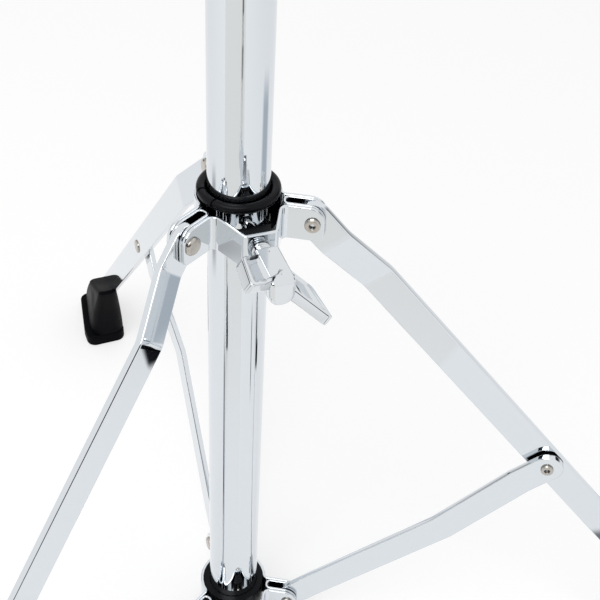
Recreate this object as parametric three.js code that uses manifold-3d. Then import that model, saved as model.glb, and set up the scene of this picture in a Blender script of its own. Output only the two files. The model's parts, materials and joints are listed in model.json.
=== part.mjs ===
// Straight cymbal stand: single-braced tripod, three telescoping stages, tilter and cymbal seat.
// Millimetres, +Z up. The tripod's wing screw faces -Y; the legs stand at -30, 210 and 90 degrees.
import * as THREE from 'three';
import { mergeVertices } from 'three/addons/utils/BufferGeometryUtils.js';
import { ConvexGeometry } from 'three/addons/geometries/ConvexGeometry.js';
import Module from 'manifold-3d';

const wasm = await Module();
wasm.setup();

// Clearances
const slideFit = 0.3;
const seatGap = 0.05;
const boreFit = 0.15;
const overcut = 2;

// Leg bar
const legWidth = 15.2;
const legThickness = 3.2;
const legLength = 345;
const legSlope = THREE.MathUtils.degToRad(47.8);
const legAzimuths = { right: -30, left: 210, back: 90 };
const legSpacing = 120;
const legJoggle = 6.93;
const legJoggleStart = 13.7;
const legJoggleEnd = 41.5;
const legEndHeight = 24.42;

// Tripod linkage: hinges beside the radius, a leg and a brace of one length between their pivots
const hingeRadius = 30.9;
const hingeShift = 1.2;
const linkShare = 0.5055;
const linkLength = legLength * linkShare;
const hingeHeight = legEndHeight + legLength * Math.sin(legSlope);
const lowerHeight = hingeHeight - 2 * linkLength * Math.sin(legSlope);

// Brace bar
const braceWidth = 15;
const braceThickness = 3;
const washerThickness = 1;
const washerRadius = 6.5;
const braceStraightStart = 18;
const braceBow = 2.84;
const braceJoggleStart = 110;
const braceJoggleEnd = 158;
const braceTopOffset = legJoggle - legThickness / 2 - washerThickness - 2 * seatGap - braceThickness / 2;
const barEndShare = 0.98;

// Collar strips, one pressing used for the sliding and for the fixed collar
const sheetThickness = 1.6;
const collarHeight = 15.8;
const channelThickness = 1.25;
const channelGap = legThickness + 2 * boreFit;
const channelWeb = 18.1;
const channelBend = 1.9;
const earGap = channelGap + 2 * channelThickness + 2 * seatGap;
const earBendRadius = 18;
const earBend = 3.3;
const earTip = 35.7;
const earTopRound = 7;
const earLowRound = 2.5;
const wrapRadius = 17;
const wrapBend = 2.2;
const facetDistance = 29.4;
const facetHalfWidth = 6.35;
const facetBend = 1.7;
const facetTurn = THREE.MathUtils.degToRad(-2);
const screwHoleRadius = 4.3;

// Rivets
const hingeRivetRadius = 2.6;
const hingeRivetHead = 3.9;
const hingeRivetRoll = 3.3;
const linkRivetRadius = 2.4;
const linkRivetHead = 3.8;
const linkRivetRoll = 3;
const rivetHeadHeight = 2.2;
const rivetCrownShare = 0.7;
const rivetRollHeight = 1.3;
const rivetRollShare = 0.72;
const rivetBore = 1.3;
const rivetBoreDepth = 4;

// Base tube
const baseTubeRadius = 12.7;
const baseTubeWall = 1.5;
const baseTubeLength = 584;
const tubeBelowCollar = 7.7;
const baseTubeBottom = lowerHeight - collarHeight / 2 - tubeBelowCollar;
const baseTubeTop = baseTubeBottom + baseTubeLength;
const plugWall = 1.6;
const plugDepth = 16;
const plugRim = 2;

// Collar bush and ring
const bushOuter = 16.1;
const bushWindowStart = -190;
const bushWindowEnd = 35;
const bushLowRing = 3.9;
const ringOuter = 17;
const ringHeight = 4;
const ringRound = 1.8;
const ringEdgeShare = 0.3;
const ringSlit = 0.8;
const ringSlitAzimuth = 176;
const ringNotchAzimuth = 212;
const ringNotchDepth = 0.9;

// Wing screw; its shank has the thread's core radius
const screwRadius = 3.4;
const screwTipRadius = 2.4;
const screwTipLength = 2;
const hubStart = 4.5;
const hubEnd = 26.3;
const hubHalfWidth = 5.3;
const hubTop = 5.6;
const hubBottom = 6.7;
const hubTopRound = 1.8;
const hubBottomRound = 5.1;
const hubEdge = 0.9;
const wingTilt = THREE.MathUtils.degToRad(36.5);
const wingRootSpan = 5.8;
const wingRootStart = 7.5;
const wingRootEnd = 24.8;
const wingRearSpan = 17.9;
const wingRearOut = 15.8;
const wingFrontSpan = 20.5;
const wingFrontOut = 34.6;
const wingCorner = 2.5;
const wingWeb = 3.2;
const wingRim = 4.8;
const wingRimWidth = 3;
const wingRimRise = 1.6;
const wingChamfer = 0.9;

// Threaded block behind a front facet, wider on its inner side
const nutFrontWidth = 9.4;
const nutBackWidth = 13;
const nutHeight = 12;
const nutThickness = 6.5;

// Low-headed screw of the fixed collar
const lowHeadRadius = 6.6;
const lowHeadHeight = 3.9;
const lowHeadEdge = 2;

// Rubber foot, set out from the end of its leg bar: outward, to the right and to the left of the bar
const footSoleInner = 28.6;
const footSoleOuter = 19.9;
const footSoleRight = 6.5;
const footSoleLeft = 20;
const footSoleTaper = 5.6;
const footBulgeInner = 16;
const footSoleRound = 6;
const footSoleHeight = 9;
const footEdge = 1.6;
const footGroove = 2.2;
const footGrooveDepth = 2.4;
const footNeckInset = 1;
const footTopInner = 41.2;
const footTopOuter = 5.6;
const footTopLeft = 12;
const footTopRound = 2.5;
const footTopHeight = 58.6;
const footTopDrop = 15.9;
const footShoulderInner = 36.1;
const footShoulderHeight = 34;
const footShoulderRight = 2.6;
const footSocketGap = 0.4;

// Height clamps
const clampWall = 5.8;
const clampSkirt = 34;
const clampCapHeight = 14;
const clampEdge = 2;
const bossRadius = 9;
const bossReach = 6.5;
const bossDrop = 17;
const bushFlange = 4;
const bushSleeve = 46;

// Middle and upper tubes
const middleRadius = 9.525;
const middleWall = 1.2;
const middleRise = 320;
const middleLength = 480;
const middleTop = baseTubeTop + middleRise;
const upperRadius = 6.35;
const upperWall = 1.2;
const upperRise = 280;
const upperLength = 400;
const upperTop = middleTop + upperRise;

// Tilter
const tilterSocketRadius = 9;
const tilterSocketHeight = 30;
const tilterSocketCap = 5;
const tilterPivotRise = 20;
const tilterDiscRadius = 13;
const tilterDiscThickness = 8;
const tilterGap = 0.6;
const tilterBoltRadius = 3;
const tilterBoltHead = 6.5;
const tilterBoltHeadHeight = 3;
const tilterBoltCrownShare = 0.7;
const tilterNeckWidth = 11;
const tilterRodBoss = 7.5;
const tilterRodBossHeight = 14;

// Wing nuts
const tilterNutHub = 6;
const tilterNutLength = 11;
const tilterNutSpan = 17;
const tilterNutLift = 9;
const tilterNutThickness = 3.6;
const topNutHub = 7;
const topNutLength = 12;
const topNutSpan = 17;
const topNutLift = 12;
const topNutThickness = 4.2;
const topNutGap = 1;
const nutTaperShare = 0.8;
const nutRootShare = 0.4;
const nutLowShare = 0.2;
const nutRiseShare = 0.75;
const nutCrownShare = 0.72;

// Cymbal seat
const cymbalRodRadius = 4;
const cymbalRodLength = 84;
const seatRise = 6;
const cupRadius = 19;
const cupThickness = 1.6;
const cupHubRadius = 7.5;
const cupHubHeight = 7;
const sleeveRadius = 6;
const sleeveFlange = 9;
const sleeveFlangeHeight = 2;
const feltRadius = 19;
const feltThickness = 14;
const feltCrown = 3;
const feltEdgeShare = 0.3;
const cymbalThickness = 2;
const feltSlack = 0.5;

// Mesh resolution
const tubeSides = 32;
const innerSides = 20;
const rodSides = 16;
const rivetSides = 12;
const arcSteps = 4;
const wrapSteps = 8;
const windowSteps = 4;

// Materials by look
const looks = {
  chrome: { color: 0xd8dade, metalness: 1, roughness: 0.12 },
  casting: { color: 0xcfd2d6, metalness: 1, roughness: 0.2 },
  rubber: { color: 0x1c1d20, metalness: 0, roughness: 0.7 },
  plastic: { color: 0x202124, metalness: 0, roughness: 0.5 },
  zinc: { color: 0xb9bbbd, metalness: 1, roughness: 0.35 },
  felt: { color: 0x2a2b30, metalness: 0, roughness: 1 },
};

const group = new THREE.Group();
group.name = 'straight_cymbal_stand';

// Turns a three.js geometry into a closed solid
function solid(geometry) {
  geometry.deleteAttribute('normal');
  geometry.deleteAttribute('uv');
  const merged = mergeVertices(geometry);
  const mesh = new wasm.Mesh({
    numProp: 3,
    vertProperties: new Float32Array(merged.attributes.position.array),
    triVerts: new Uint32Array(merged.index.array),
  });
  return new wasm.Manifold(mesh);
}

// Adds a solid to the group as a named mesh
function add(name, body, look) {
  const mesh = body.getMesh();
  const geometry = new THREE.BufferGeometry();
  const positions = new Float32Array(mesh.vertProperties);
  geometry.setAttribute('position', new THREE.BufferAttribute(positions, mesh.numProp));
  geometry.setIndex(new THREE.BufferAttribute(new Uint32Array(mesh.triVerts), 1));
  geometry.computeVertexNormals();
  const node = new THREE.Mesh(geometry, new THREE.MeshStandardMaterial(looks[look]));
  node.name = name;
  group.add(node);
}

// Placing
const place = (matrix, body) => body.transform(matrix.elements);
const spin = (degrees) => new THREE.Matrix4().makeRotationZ(THREE.MathUtils.degToRad(degrees));
const shift = (x, y, z) => new THREE.Matrix4().makeTranslation(x, y, z);
const upright = new THREE.Matrix4().makeRotationX(Math.PI / 2);
const sideways = new THREE.Matrix4().makeRotationX(-Math.PI / 2);
const alongX = (height) => shift(0, 0, height).multiply(new THREE.Matrix4().makeRotationY(Math.PI / 2));
const radially = (azimuth, point) => new THREE.Vector3(point[0], point[1], 0).applyMatrix4(spin(azimuth));

// Frames of a leg (from its hinge outwards) and of a brace (from the fixed collar outwards)
const legFrame = (azimuth) => spin(azimuth)
  .multiply(shift(hingeRadius, -hingeShift, hingeHeight))
  .multiply(new THREE.Matrix4().makeRotationY(legSlope));
const braceFrame = (azimuth) => spin(azimuth)
  .multiply(shift(hingeRadius, -hingeShift, lowerHeight))
  .multiply(new THREE.Matrix4().makeRotationY(-legSlope));

// Frame whose Z runs outwards along a screw axis, whose X points down and whose Y points to the left
const screwFrame = (angle, height, from) => new THREE.Matrix4().makeRotationZ(angle)
  .multiply(shift(from, 0, height))
  .multiply(new THREE.Matrix4().makeRotationY(Math.PI / 2));

// Axis-aligned block from its two corners
function block(x0, x1, y0, y1, z0, z1) {
  const geometry = new THREE.BoxGeometry(x1 - x0, y1 - y0, z1 - z0);
  geometry.translate((x0 + x1) / 2, (y0 + y1) / 2, (z0 + z1) / 2);
  return solid(geometry);
}

// Round bar along +Z
function bar(radius, z0, z1, sides = rodSides) {
  const geometry = new THREE.CylinderGeometry(radius, radius, z1 - z0, sides);
  geometry.rotateX(Math.PI / 2);
  geometry.translate(0, 0, (z0 + z1) / 2);
  return solid(geometry);
}

// Round hole along +Z, widened so that its flats stay outside the circle
function bore(radius, z0, z1, sides = rodSides) {
  return bar(radius / Math.cos(Math.PI / sides), z0, z1, sides);
}

// Solid of revolution about Z from points of radius and height, listed upwards
function turned(profile, sides = rodSides) {
  const geometry = new THREE.LatheGeometry(profile.map(([r, z]) => new THREE.Vector2(r, z)), sides);
  geometry.rotateX(Math.PI / 2);
  return solid(geometry);
}

// Flat outline in XY drawn up from z0 to z1
function prism(outline, z0, z1) {
  const shape = new THREE.Shape(outline.map(([x, y]) => new THREE.Vector2(x, y)));
  const geometry = new THREE.ExtrudeGeometry(shape, { depth: z1 - z0, bevelEnabled: false });
  geometry.translate(0, 0, z0);
  return solid(geometry);
}

const hullOf = (points) => solid(new ConvexGeometry(points));

// Replaces the corners of a path by arcs of the given radii
function rounded(points, radii, closed) {
  const out = [];
  const count = points.length;
  points.forEach((p, i) => {
    const radius = Array.isArray(radii) ? radii[i] : radii;
    const isEnd = !closed && (i === 0 || i === count - 1);
    if (isEnd || radius === 0) {
      out.push(p);
      return;
    }
    const here = new THREE.Vector2(...p);
    const before = new THREE.Vector2(...points[(i + count - 1) % count]).sub(here).normalize();
    const after = new THREE.Vector2(...points[(i + 1) % count]).sub(here).normalize();
    const half = Math.acos(THREE.MathUtils.clamp(before.dot(after), -1, 1)) / 2;
    const centre = before.clone().add(after).normalize().multiplyScalar(radius / Math.sin(half)).add(here);
    const start = here.clone().addScaledVector(before, radius / Math.tan(half)).sub(centre);
    const turn = Math.PI - 2 * half;
    const sign = Math.sign(after.cross(before));
    for (let k = 0; k <= arcSteps; k += 1) {
      const spot = start.clone().rotateAround(new THREE.Vector2(), (sign * turn * k) / arcSteps).add(centre);
      out.push([spot.x, spot.y]);
    }
  });
  return out;
}

// Outline of a strip of even thickness that follows a path
function ribbon(path, thickness) {
  const points = path.map((p) => new THREE.Vector2(...p));
  const offset = (side) => points.map((p, i) => {
    const back = i > 0 ? p.clone().sub(points[i - 1]).normalize() : null;
    const ahead = i < points.length - 1 ? points[i + 1].clone().sub(p).normalize() : null;
    const along = (back && ahead ? back.clone().add(ahead) : back || ahead).normalize();
    const normal = new THREE.Vector2(-along.y, along.x);
    const reach = (side * thickness) / 2 / along.dot(ahead || back);
    return [p.x + normal.x * reach, p.y + normal.y * reach];
  });
  return [...offset(-1), ...offset(1).reverse()];
}

// Round hole across a bar, along its thickness
const crossHole = (radius, along, y0, y1) => place(
  shift(along, 0, 0).multiply(sideways),
  bore(radius, y0, y1),
);

// Flat bar on edge: a bent ribbon seen from above, cut to a rounded outline seen from the side
function flatBar(path, thickness, width, startRound, endRound) {
  const half = width / 2;
  const from = path[0][0];
  const to = path[path.length - 1][0];
  const body = prism(ribbon(path, thickness), -half, half);
  const outline = rounded(
    [[from, -half], [to, -half], [to, half], [from, half]],
    [startRound, endRound, endRound, startRound],
    true,
  );
  const reach = Math.max(...path.map((p) => Math.abs(p[1]))) + thickness;
  return body.intersect(place(upright, prism(outline, -reach, reach)));
}

function leg() {
  const half = legWidth / 2;
  const path = [
    [-half, 0], [legJoggleStart, 0], [legJoggleEnd, legJoggle], [legLength, legJoggle],
  ];
  const reach = legJoggle + legThickness;
  return flatBar(path, legThickness, legWidth, half * barEndShare, legThickness)
    .subtract(crossHole(hingeRivetRadius + boreFit, 0, -reach, reach))
    .subtract(crossHole(linkRivetRadius + boreFit, linkLength, -reach, reach));
}

function brace() {
  const half = braceWidth / 2;
  const path = [
    [-half, 0], [braceStraightStart, 0], [braceJoggleStart, -braceBow],
    [braceJoggleEnd, braceTopOffset], [linkLength + half, braceTopOffset],
  ];
  const reach = legJoggle + legThickness;
  return flatBar(path, braceThickness, braceWidth, half * barEndShare, half * barEndShare)
    .subtract(crossHole(hingeRivetRadius + boreFit, 0, -reach, reach))
    .subtract(crossHole(linkRivetRadius + boreFit, linkLength, -reach, reach));
}

// Rivet across two or more plates: domed head on the left side, rolled hollow end on the right side
function rivet(shank, head, roll, right, left) {
  const body = turned([
    [0, right - rivetRollHeight], [roll * rivetRollShare, right - rivetRollHeight],
    [roll, right - rivetRollHeight / 2], [roll, right], [shank, right], [shank, left], [head, left],
    [head, left + rivetHeadHeight / 2], [head * rivetCrownShare, left + rivetHeadHeight],
    [0, left + rivetHeadHeight],
  ], rivetSides);
  const end = right - rivetRollHeight;
  const hollow = bore(rivetBore, end - overcut, end + rivetBoreDepth, rivetSides);
  return place(sideways, body.subtract(hollow));
}

// Direction of the middle of a collar strip, seen from the tube
const facetAngle = (azimuth) => THREE.MathUtils.degToRad(azimuth - legSpacing / 2) + facetTurn;

// Collar strip between the leg at one azimuth and the next one clockwise, folded from one path:
// the front strip stands off in three facets, the others wrap the bush
function collarStrip(fromAzimuth, height, isFront) {
  const plate = (earGap + sheetThickness) / 2;
  const toAzimuth = fromAzimuth - legSpacing;
  const middle = facetAngle(fromAzimuth);
  const facet = facetDistance - sheetThickness / 2;
  const corner = (side) => [
    facet * Math.cos(middle) - side * facetHalfWidth * Math.sin(middle),
    facet * Math.sin(middle) + side * facetHalfWidth * Math.cos(middle),
  ];
  const ear = (azimuth, outward, side) => {
    const spot = radially(azimuth, [outward, side * plate - hingeShift]);
    return [spot.x, spot.y];
  };
  const wrapEnd = (side) => Math.asin((side * plate - hingeShift) / wrapRadius);
  const wrap = () => {
    const start = THREE.MathUtils.degToRad(fromAzimuth) + wrapEnd(-1);
    const end = THREE.MathUtils.degToRad(toAzimuth) + wrapEnd(1);
    return Array.from({ length: wrapSteps + 1 }, (_, i) => {
      const angle = start + ((end - start) * i) / wrapSteps;
      return [wrapRadius * Math.cos(angle), wrapRadius * Math.sin(angle)];
    });
  };
  const between = isFront
    ? [ear(fromAzimuth, earBendRadius, -1), corner(1), corner(-1), ear(toAzimuth, earBendRadius, 1)]
    : wrap();
  const innerBend = isFront ? facetBend : 0;
  const outerBend = isFront ? earBend : wrapBend;
  const bends = between.map((_, i) => (i === 0 || i === between.length - 1 ? outerBend : innerBend));
  const path = rounded(
    [ear(fromAzimuth, earTip, -1), ...between, ear(toAzimuth, earTip, 1)],
    [0, ...bends, 0],
    false,
  );
  const half = collarHeight / 2;
  let strip = prism(ribbon(path, sheetThickness), height - half, height + half);
  [[fromAzimuth, -1], [toAzimuth, 1]].forEach(([azimuth, side]) => {
    const reach = plate + sheetThickness;
    const y0 = Math.min(0, side * reach) - hingeShift;
    const y1 = Math.max(0, side * reach) - hingeShift;
    const start = (earBendRadius + hingeRadius) / 2;
    const keep = rounded(
      [[0, -collarHeight], [earTip, -half], [earTip, half], [0, collarHeight]],
      [0, earLowRound, earTopRound, 0],
      true,
    );
    const zone = block(start, earTip + overcut, y0, y1, -collarHeight, collarHeight);
    const rounding = place(upright, prism(keep, -y1 - overcut, overcut - y0));
    const hole = crossHole(hingeRivetRadius + seatGap, hingeRadius, -reach, reach);
    const frame = spin(azimuth).multiply(shift(0, 0, height));
    strip = strip.subtract(place(frame, zone.subtract(rounding)))
      .subtract(place(frame, place(shift(0, -hingeShift, 0), hole)));
  });
  if (isFront) {
    const screwWay = bore(screwHoleRadius, 0, facetDistance + overcut);
    strip = strip.subtract(place(screwFrame(middle, height, 0), screwWay));
  }
  return strip;
}

// Hinge channel: a U of thinner sheet between the ears of two strips, its web towards the tube
function hingeChannel(azimuth, height) {
  const plate = (channelGap + channelThickness) / 2;
  const web = channelWeb + channelThickness / 2;
  const path = rounded([[earTip, -plate], [web, -plate], [web, plate], [earTip, plate]],
    [0, channelBend, channelBend, 0], false);
  const half = collarHeight / 2;
  const reach = plate + channelThickness;
  const outline = rounded([[0, -half], [earTip, -half], [earTip, half], [0, half]],
    [0, earLowRound, earTopRound, 0], true);
  const channel = prism(ribbon(path, channelThickness), -half, half)
    .intersect(place(upright, prism(outline, -reach, reach)))
    .subtract(crossHole(hingeRivetRadius + seatGap, hingeRadius, -reach, reach));
  return place(spin(azimuth).multiply(shift(0, -hingeShift, height)), channel);
}

// Split ring and bush of the sliding collar, open in front for the screw
function collarBush() {
  const inner = baseTubeRadius + slideFit;
  const low = hingeHeight - collarHeight / 2;
  const seat = hingeHeight + collarHeight / 2 + seatGap;
  const top = seat + ringHeight;
  const ringEdge = ringRound * ringEdgeShare;
  const body = bar(bushOuter, low, seat + ringHeight / 2, tubeSides);
  const ring = turned([
    [0, seat], [ringOuter - ringRound, seat], [ringOuter - ringEdge, seat + ringEdge],
    [ringOuter, seat + ringRound], [ringOuter, top - ringRound], [ringOuter - ringEdge, top - ringEdge],
    [ringOuter - ringRound, top], [inner + ringRound, top], [inner, top - ringRound], [0, top - ringRound],
  ], tubeSides);
  const hole = bore(inner, low - overcut, top + overcut, tubeSides);
  const edge = Array.from({ length: windowSteps + 1 }, (_, i) => {
    const azimuth = bushWindowStart + ((bushWindowEnd - bushWindowStart) * i) / windowSteps;
    const spot = radially(azimuth, [2 * bushOuter, 0]);
    return [spot.x, spot.y];
  });
  const window = prism([[0, 0], ...edge], low + bushLowRing, seat - seatGap);
  const half = ringSlit / 2;
  const slit = block(0, 2 * ringOuter, -half, half, low - overcut, top + overcut);
  const notchStart = ringOuter - ringNotchDepth;
  const sideNotch = block(notchStart, 2 * ringOuter, -half, half, seat - overcut, top + overcut);
  const topNotch = block(0, 2 * ringOuter, -half, half, top - ringNotchDepth, top + overcut);
  return body.add(ring).subtract(hole).subtract(window)
    .subtract(place(spin(ringSlitAzimuth), slit))
    .subtract(place(spin(ringNotchAzimuth), sideNotch.add(topNotch)));
}

// Bush of the fixed collar
function lowerBush() {
  const low = lowerHeight - collarHeight / 2;
  const high = lowerHeight + collarHeight / 2;
  const screwWay = bore(screwRadius + slideFit, 0, bushOuter + overcut);
  return bar(bushOuter, low, high, tubeSides)
    .subtract(bore(baseTubeRadius + seatGap, low - overcut, high + overcut, tubeSides))
    .subtract(place(screwFrame(facetAngle(legAzimuths.right), lowerHeight, 0), screwWay));
}

// Threaded block behind a front facet
function facetNut(angle, height) {
  const inner = facetDistance - sheetThickness - seatGap - nutThickness;
  const back = nutBackWidth / 2;
  const front = nutFrontWidth / 2;
  const outer = inner + nutThickness;
  const outline = [[inner, -back], [outer, -front], [outer, front], [inner, back]];
  const blockShape = place(
    new THREE.Matrix4().makeRotationZ(angle).multiply(shift(0, 0, height)),
    prism(outline, -nutHeight / 2, nutHeight / 2),
  );
  const thread = bore(screwRadius + boreFit, 0, facetDistance);
  return blockShape.subtract(place(screwFrame(angle, height, 0), thread));
}

// One wing of the wing screw along +X: a swept plate with a thick chamfered rim at its outer end
function wing() {
  const sweep = (wingFrontSpan - wingRearSpan) / (wingFrontOut - wingRearOut);
  const web = wingWeb / 2;
  const rim = wingRim / 2;
  const end = wingRearSpan + seatGap;
  const rimStart = wingRearSpan - wingRimWidth;
  const section = [
    [0, -web], [rimStart - wingRimRise, -web], [rimStart, -rim], [end - wingChamfer, -rim],
    [end, wingChamfer - rim], [end, rim - wingChamfer], [end - wingChamfer, rim], [rimStart, rim],
    [rimStart - wingRimRise, web], [0, web],
  ];
  const slant = new THREE.Matrix4().makeShear(0, 0, 0, 0, sweep, 0);
  const plate = place(
    shift(0, 0, wingRearOut).multiply(slant),
    prism(section, -wingRearOut, wingFrontOut - wingRearOut + overcut),
  );
  const outline = rounded([
    [0, wingRootStart], [wingRootSpan, wingRootStart], [wingRearSpan, wingRearOut],
    [wingFrontSpan, wingFrontOut], [wingRootSpan, wingRootEnd], [0, wingRootEnd],
  ], [0, 0, wingCorner, wingCorner, 0, 0], true);
  return plate.intersect(place(upright, prism(outline, -wingRim, wingRim)));
}

// Outline of points at one height, or on a slope from z0 at its inner end to z1 at its outer end
function slabPoints(corners, round, z0, z1 = z0) {
  const inner = Math.min(...corners.map(([x]) => x));
  const outer = Math.max(...corners.map(([x]) => x));
  return rounded(corners, round, true)
    .map(([x, y]) => new THREE.Vector3(x, y, z0 + ((z1 - z0) * (x - inner)) / (outer - inner)));
}

// Wing screw along +Z from its seat at zero, its hub flat on top and round below;
// the tip of its shank lies below the seat
function wingScrew(tip) {
  const section = (inset, z) => slabPoints([
    [inset - hubTop, inset - hubHalfWidth], [hubBottom - inset, inset - hubHalfWidth],
    [hubBottom - inset, hubHalfWidth - inset], [inset - hubTop, hubHalfWidth - inset],
  ], [hubTopRound, hubBottomRound, hubBottomRound, hubTopRound].map((r) => r - inset), z);
  const hub = hullOf([
    ...section(hubEdge, hubStart), ...section(0, hubStart + hubEdge),
    ...section(0, hubEnd - hubEdge), ...section(hubEdge, hubEnd),
  ]);
  const turn = new THREE.Matrix4().makeRotationZ(Math.PI / 2 - wingTilt);
  const halfTurn = new THREE.Matrix4().makeRotationZ(Math.PI);
  const wings = wing().add(place(halfTurn, wing()));
  const tipEnd = tip + screwTipLength;
  const shank = bar(screwRadius, tipEnd, hubStart + overcut).add(bar(screwTipRadius, tip, tipEnd + overcut));
  return hub.add(place(turn, wings)).add(shank);
}

// Low-headed screw that holds the fixed collar to the tube
function lowScrew() {
  const seat = facetDistance + seatGap;
  const head = turned([
    [0, seat], [lowHeadRadius, seat], [lowHeadRadius, seat + lowHeadHeight - lowHeadEdge],
    [lowHeadRadius - lowHeadEdge, seat + lowHeadHeight], [0, seat + lowHeadHeight],
  ]);
  return bar(screwRadius, baseTubeRadius + seatGap, seat + overcut).add(head);
}

// Rubber foot: flat sole with a flange, a groove above it, and a leaning neck with the bar's socket,
// whose right side falls away to a lower shoulder
function foot(azimuth) {
  const end = hingeRadius + legLength * Math.cos(legSlope);
  const lane = legJoggle - hingeShift;
  const sole = (inset, z) => slabPoints([
    [end - footSoleInner + inset, lane - footSoleRight + inset],
    [end + footSoleOuter - inset, lane - footSoleRight + inset],
    [end + footSoleOuter - inset, lane + footSoleLeft - footSoleTaper - inset],
    [end - footBulgeInner, lane + footSoleLeft - inset],
    [end - footSoleInner + inset, lane + footSoleLeft - inset],
  ], footSoleRound - inset, z);
  const top = (inset, drop) => slabPoints([
    [end - footTopInner + inset, lane + inset],
    [end - footTopOuter - inset, lane + inset],
    [end - footTopOuter - inset, lane + footTopLeft - inset],
    [end - footTopInner + inset, lane + footTopLeft - inset],
  ], footTopRound - inset, footTopHeight - drop, footTopHeight - footTopDrop - drop);
  const shoulder = [
    new THREE.Vector3(end - footShoulderInner, lane - footShoulderRight, footShoulderHeight),
    new THREE.Vector3(end - footTopOuter, lane - footShoulderRight, footShoulderHeight),
  ];
  const grooveTop = footSoleHeight + footGroove;
  const flange = hullOf([
    ...sole(footEdge, 0), ...sole(0, footEdge),
    ...sole(0, footSoleHeight - footEdge), ...sole(footEdge, footSoleHeight),
  ]);
  const waist = hullOf([
    ...sole(footGrooveDepth, footSoleHeight / 2), ...sole(footGrooveDepth, grooveTop + footEdge),
  ]);
  const neck = hullOf([
    ...sole(footGrooveDepth, grooveTop), ...sole(footNeckInset, grooveTop + footEdge),
    ...top(0, footEdge), ...top(footEdge, 0), ...shoulder,
  ]);
  const half = legWidth / 2 + slideFit;
  const side = legThickness / 2 + slideFit;
  const socket = block(0, legLength + footSocketGap, legJoggle - side, legJoggle + side, -half, half);
  return place(spin(azimuth), flange.add(waist).add(neck)).subtract(place(legFrame(azimuth), socket));
}

function tube(radius, wall, z0, z1) {
  return bar(radius, z0, z1, tubeSides).subtract(bore(radius - wall, z0 - overcut, z1 + overcut, innerSides));
}

// Hole for a height clamp's screw in the front wall of a tube or of a clamp
const clampHole = (height, radius) => place(
  screwFrame(-Math.PI / 2, height, 0),
  bore(radius, 0, baseTubeRadius + clampWall + bossReach + overcut),
);

// End plug of the base tube
function tubePlug() {
  const radius = baseTubeRadius - baseTubeWall - seatGap;
  const rimTop = baseTubeBottom - seatGap;
  const plugTop = baseTubeBottom + plugDepth;
  return bar(radius, rimTop - plugRim, plugTop, innerSides)
    .add(bar(baseTubeRadius, rimTop - plugRim, rimTop, tubeSides))
    .subtract(bore(radius - plugWall, baseTubeBottom + plugRim, plugTop + overcut, innerSides));
}

// Height clamp on top of a tube: cast body with a screw boss, plastic bush and wing screw
function addClamp(prefix, outer, wall, top, inner) {
  const bodyRadius = outer + clampWall;
  const seatTop = top + bushFlange + seatGap;
  const capTop = seatTop + clampCapHeight;
  const skirtEnd = top - clampSkirt;
  const screwHeight = top - bossDrop;
  const bossEnd = bodyRadius + bossReach;
  const body = turned([
    [0, skirtEnd], [bodyRadius - clampEdge, skirtEnd], [bodyRadius, skirtEnd + clampEdge], [bodyRadius, top],
    [bodyRadius - clampEdge, capTop - clampEdge], [bodyRadius - 2 * clampEdge, capTop], [0, capTop],
  ], tubeSides)
    .add(place(screwFrame(-Math.PI / 2, screwHeight, 0), bar(bossRadius, 0, bossEnd)))
    .subtract(bore(outer + boreFit, skirtEnd - overcut, seatTop, tubeSides))
    .subtract(bore(inner + slideFit, top - overcut, capTop + overcut, innerSides))
    .subtract(clampHole(screwHeight, screwRadius + boreFit));
  add(`${prefix}_clamp_body`, body, 'casting');
  const sleeveOuter = outer - wall - seatGap;
  const sleeveEnd = top - bushSleeve;
  const bush = bar(sleeveOuter, sleeveEnd, top + bushFlange / 2, innerSides)
    .add(bar(outer, top + seatGap, top + bushFlange, tubeSides))
    .subtract(bore(inner + slideFit, sleeveEnd - overcut, top + bushFlange + overcut, innerSides));
  add(`${prefix}_clamp_bush`, bush, 'plastic');
  const screw = wingScrew(sleeveOuter + 2 * seatGap - bossEnd);
  add(`${prefix}_wing_screw`, place(screwFrame(-Math.PI / 2, screwHeight, bossEnd), screw), 'casting');
}

// Wing nut along +Z from its seat at zero
function wingNut(hubSize, length, span, lift, thickness, hole) {
  const hub = turned([[0, 0], [hubSize, 0], [hubSize * nutTaperShare, length], [0, length]]);
  const root = hubSize * nutRootShare;
  const rootLow = length * nutLowShare;
  const top = length + lift * nutRiseShare;
  const outline = rounded(
    [[root, rootLow], [span, lift], [span, top], [span * nutCrownShare, top], [root, length - rootLow]],
    [0, thickness / 2, thickness / 2, thickness, 0],
    true,
  );
  const plate = prism(outline, -thickness / 2, thickness / 2);
  const other = new THREE.Matrix4().makeRotationZ(Math.PI).multiply(upright);
  return hub.add(place(upright, plate)).add(place(other, plate))
    .subtract(bore(hole, -overcut, length + lift + overcut));
}

// Felt disc with crowned edges
function felt(z0) {
  const z1 = z0 + feltThickness;
  const edge = feltCrown * feltEdgeShare;
  return turned([
    [0, z0], [feltRadius - feltCrown, z0], [feltRadius - edge, z0 + edge], [feltRadius, z0 + feltCrown],
    [feltRadius, z1 - feltCrown], [feltRadius - edge, z1 - edge], [feltRadius - feltCrown, z1], [0, z1],
  ], innerSides).subtract(bore(sleeveRadius + boreFit, z0 - overcut, z1 + overcut));
}

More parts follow.
